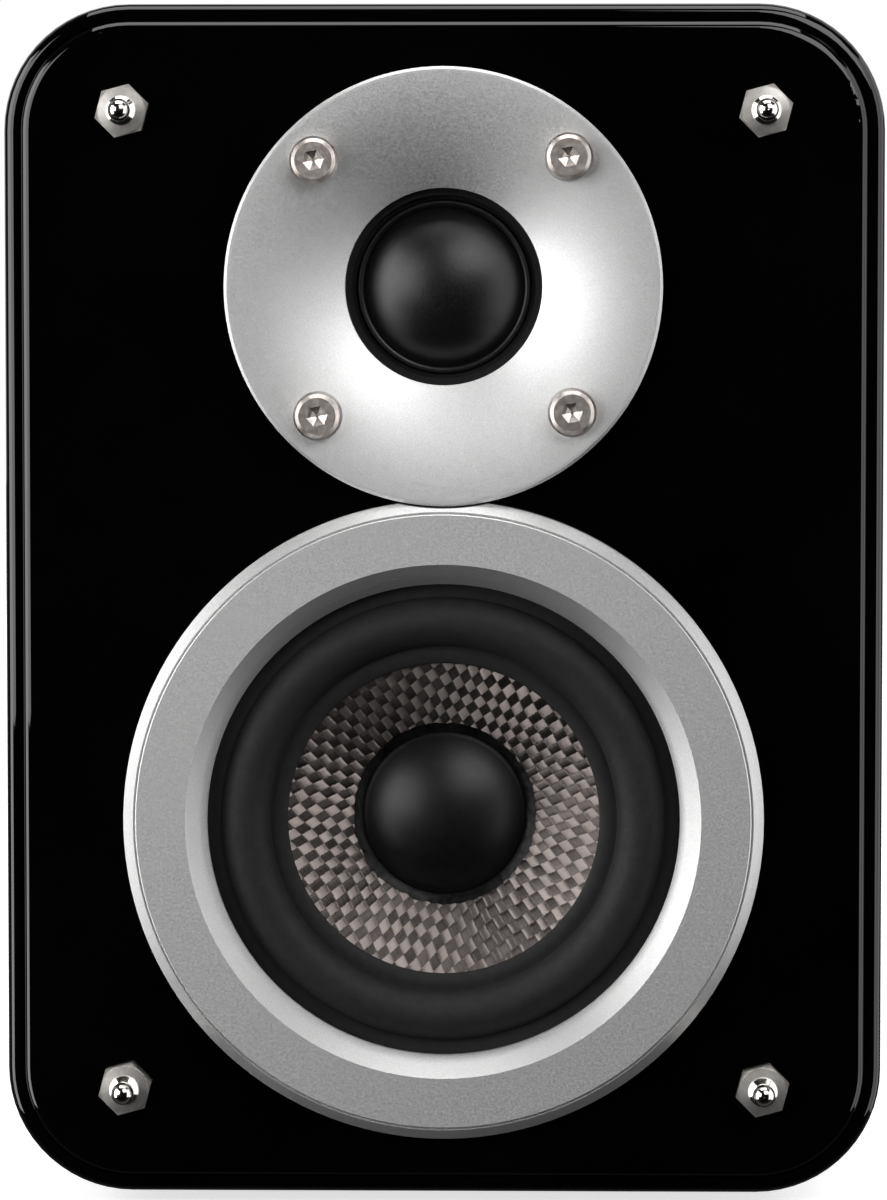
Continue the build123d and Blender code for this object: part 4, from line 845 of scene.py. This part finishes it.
def tweeter_surround():
    """The small roll that the dome hangs in."""
    middle = DOME_RADIUS + TWEETER_ROLL
    top = [(DOME_RADIUS - 0.05, DOME_BASE)] + arc((middle, DOME_BASE), TWEETER_ROLL, 170, 8, 20)
    top += [(TWEETER_ROLL_RIM, DOME_BASE)]
    back, inside = DOME_BASE - DOME_CLOTH, TWEETER_ROLL - DOME_CLOTH
    under = [(TWEETER_ROLL_RIM, back), (middle + inside, back)]
    under += arc((middle, back), inside, 10, 170, 12)
    piece = lathe("tweeter_roll", top + under, TWEETER_Z, MATERIALS["cloth"], 240, 60)
    rolls_with(piece)
    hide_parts("tweeter_surround")


def silk_dome():
    """The tweeter's dome, a thin cap of a sphere."""
    sphere = (DOME_RADIUS**2 + DOME_HEIGHT**2) / (2 * DOME_HEIGHT)
    centre = DOME_BASE + DOME_HEIGHT - sphere
    edge = math.degrees(math.acos(DOME_RADIUS / sphere))
    outline = arc((0, centre), sphere, 90, edge, 60)
    outline += arc((0, centre), sphere - DOME_CLOTH, edge, 90, 30)
    dome = lathe("silk_dome", outline, TWEETER_Z, MATERIALS["cloth"], 300, 50)
    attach(dome, "tweeter_motion")
    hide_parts("tweeter_dome")


# Each lead's way from the coil former to the terminal strip: distances below the axis, and depths
LEAD_ROUTE = ((13.2, 15), (21, 17.2), (29.5, 15.6), (36.2, 16.4), (38, 22), (38, 28.4))
LEAD_SIDE = 4
LEAD_STEPS = 14
STRANDS = 3
STRAND_RADIUS = 0.25
STRAND_CIRCLE = 0.24
STRAND_CORNERS = 8
LEAD_TWIST = 1.9


def lead_line():
    """A smooth line through the route's points, with its directions: below the axis, then depth."""
    route = np.array(LEAD_ROUTE, float)
    slopes = np.gradient(route, axis=0)
    line = []
    for run in range(len(route) - 1):
        last = run == len(route) - 2
        for t in np.linspace(0, 1, LEAD_STEPS, endpoint=last):
            start, end = 2 * t**3 - 3 * t**2 + 1, 3 * t**2 - 2 * t**3
            leave, arrive = t**3 - 2 * t**2 + t, t**3 - t**2
            point = start * route[run] + end * route[run + 1]
            line.append(point + leave * slopes[run] + arrive * slopes[run + 1])
    line = np.array(line)
    along = np.gradient(line, axis=0)
    return line, along / np.linalg.norm(along, axis=1)[:, None]


def strand_points(line, along, twist, side):
    """Rings of points round one strand, which winds about its lead's line."""
    points = []
    for (down, depth), (along_down, along_depth), turn in zip(line, along, twist):
        for corner in turns(STRAND_CORNERS):
            across = STRAND_CIRCLE * math.cos(turn) + STRAND_RADIUS * math.cos(corner)
            out = STRAND_CIRCLE * math.sin(turn) + STRAND_RADIUS * math.sin(corner)
            y = FACE_Y + (depth - out * along_down) * MM
            z = WOOFER_Z - (down + out * along_depth) * MM
            points.append(((side + across) * MM, y, z))
    return points


def tinsel_leads():
    """Two flexible leads of twisted strands, from the moving former to the fixed terminal strip."""
    line, along = lead_line()
    run = np.concatenate([[0], np.cumsum(np.linalg.norm(np.diff(line, axis=0), axis=1))])
    points, faces = [], []
    for side in (-LEAD_SIDE, LEAD_SIDE):
        for strand in range(STRANDS):
            twist = run * LEAD_TWIST + 2 * math.pi * strand / STRANDS
            faces += tube_faces(len(points), len(line), STRAND_CORNERS)
            points += strand_points(line, along, twist, side)
    mesh = bpy.data.meshes.new("twisted_leads")
    mesh.from_pydata(points, [], faces)
    leads = new_piece("twisted_leads", mesh, MATERIALS["tinsel"], 60)
    rolls_with(leads)
    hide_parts("woofer_tinsel_leads")


# The tweeter screws' places, in millimetres and degrees, and the levels of a socket: radius, then depth
SCREWS = 4
SCREW_CIRCLE = 28.5
FIRST_SCREW = 45.8
SOCKET_CORNERS = 6
SOCKET_RADIUS = 1.71
SOCKET_TURN = 10
SOCKET_LEVELS = ((SOCKET_RADIUS, 2.1), (SOCKET_RADIUS, 0.45), (1.1, 0.60), (0.3, 0.95))


def screw_sockets():
    """The bright bottoms of the tweeter screws' hexagonal sockets, with the drill's cone in each."""
    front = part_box("tweeter_screws")[0].y
    points, faces = [], []
    for screw in range(SCREWS):
        place = math.radians(FIRST_SCREW + 360 / SCREWS * screw)
        faces += tube_faces(len(points), len(SOCKET_LEVELS), SOCKET_CORNERS)
        for radius, depth in SOCKET_LEVELS:
            for corner in range(SOCKET_CORNERS):
                turn = math.radians(SOCKET_TURN + 360 / SOCKET_CORNERS * corner)
                x = SCREW_CIRCLE * math.cos(place) + radius * math.cos(turn)
                z = SCREW_CIRCLE * math.sin(place) + radius * math.sin(turn)
                points.append((x * MM, front + depth * MM, TWEETER_Z + z * MM))
    mesh = bpy.data.meshes.new("screw_sockets")
    mesh.from_pydata(points, [], faces)
    sockets = new_piece("screw_sockets", mesh, SCREW_STEEL, 10)
    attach(sockets, "cabinet")


# ---------------------------------------------------------------- assemble

make_camera()
make_world()
make_floor()
for light in LIGHTS:
    softbox(*light)

bpy.context.scene.view_settings.view_transform = "Standard"

dress_cad_nodes()
surround()
woven_cone()
dust_cap()
glue_bead()
spider()
tweeter_surround()
silk_dome()
tinsel_leads()
screw_sockets()
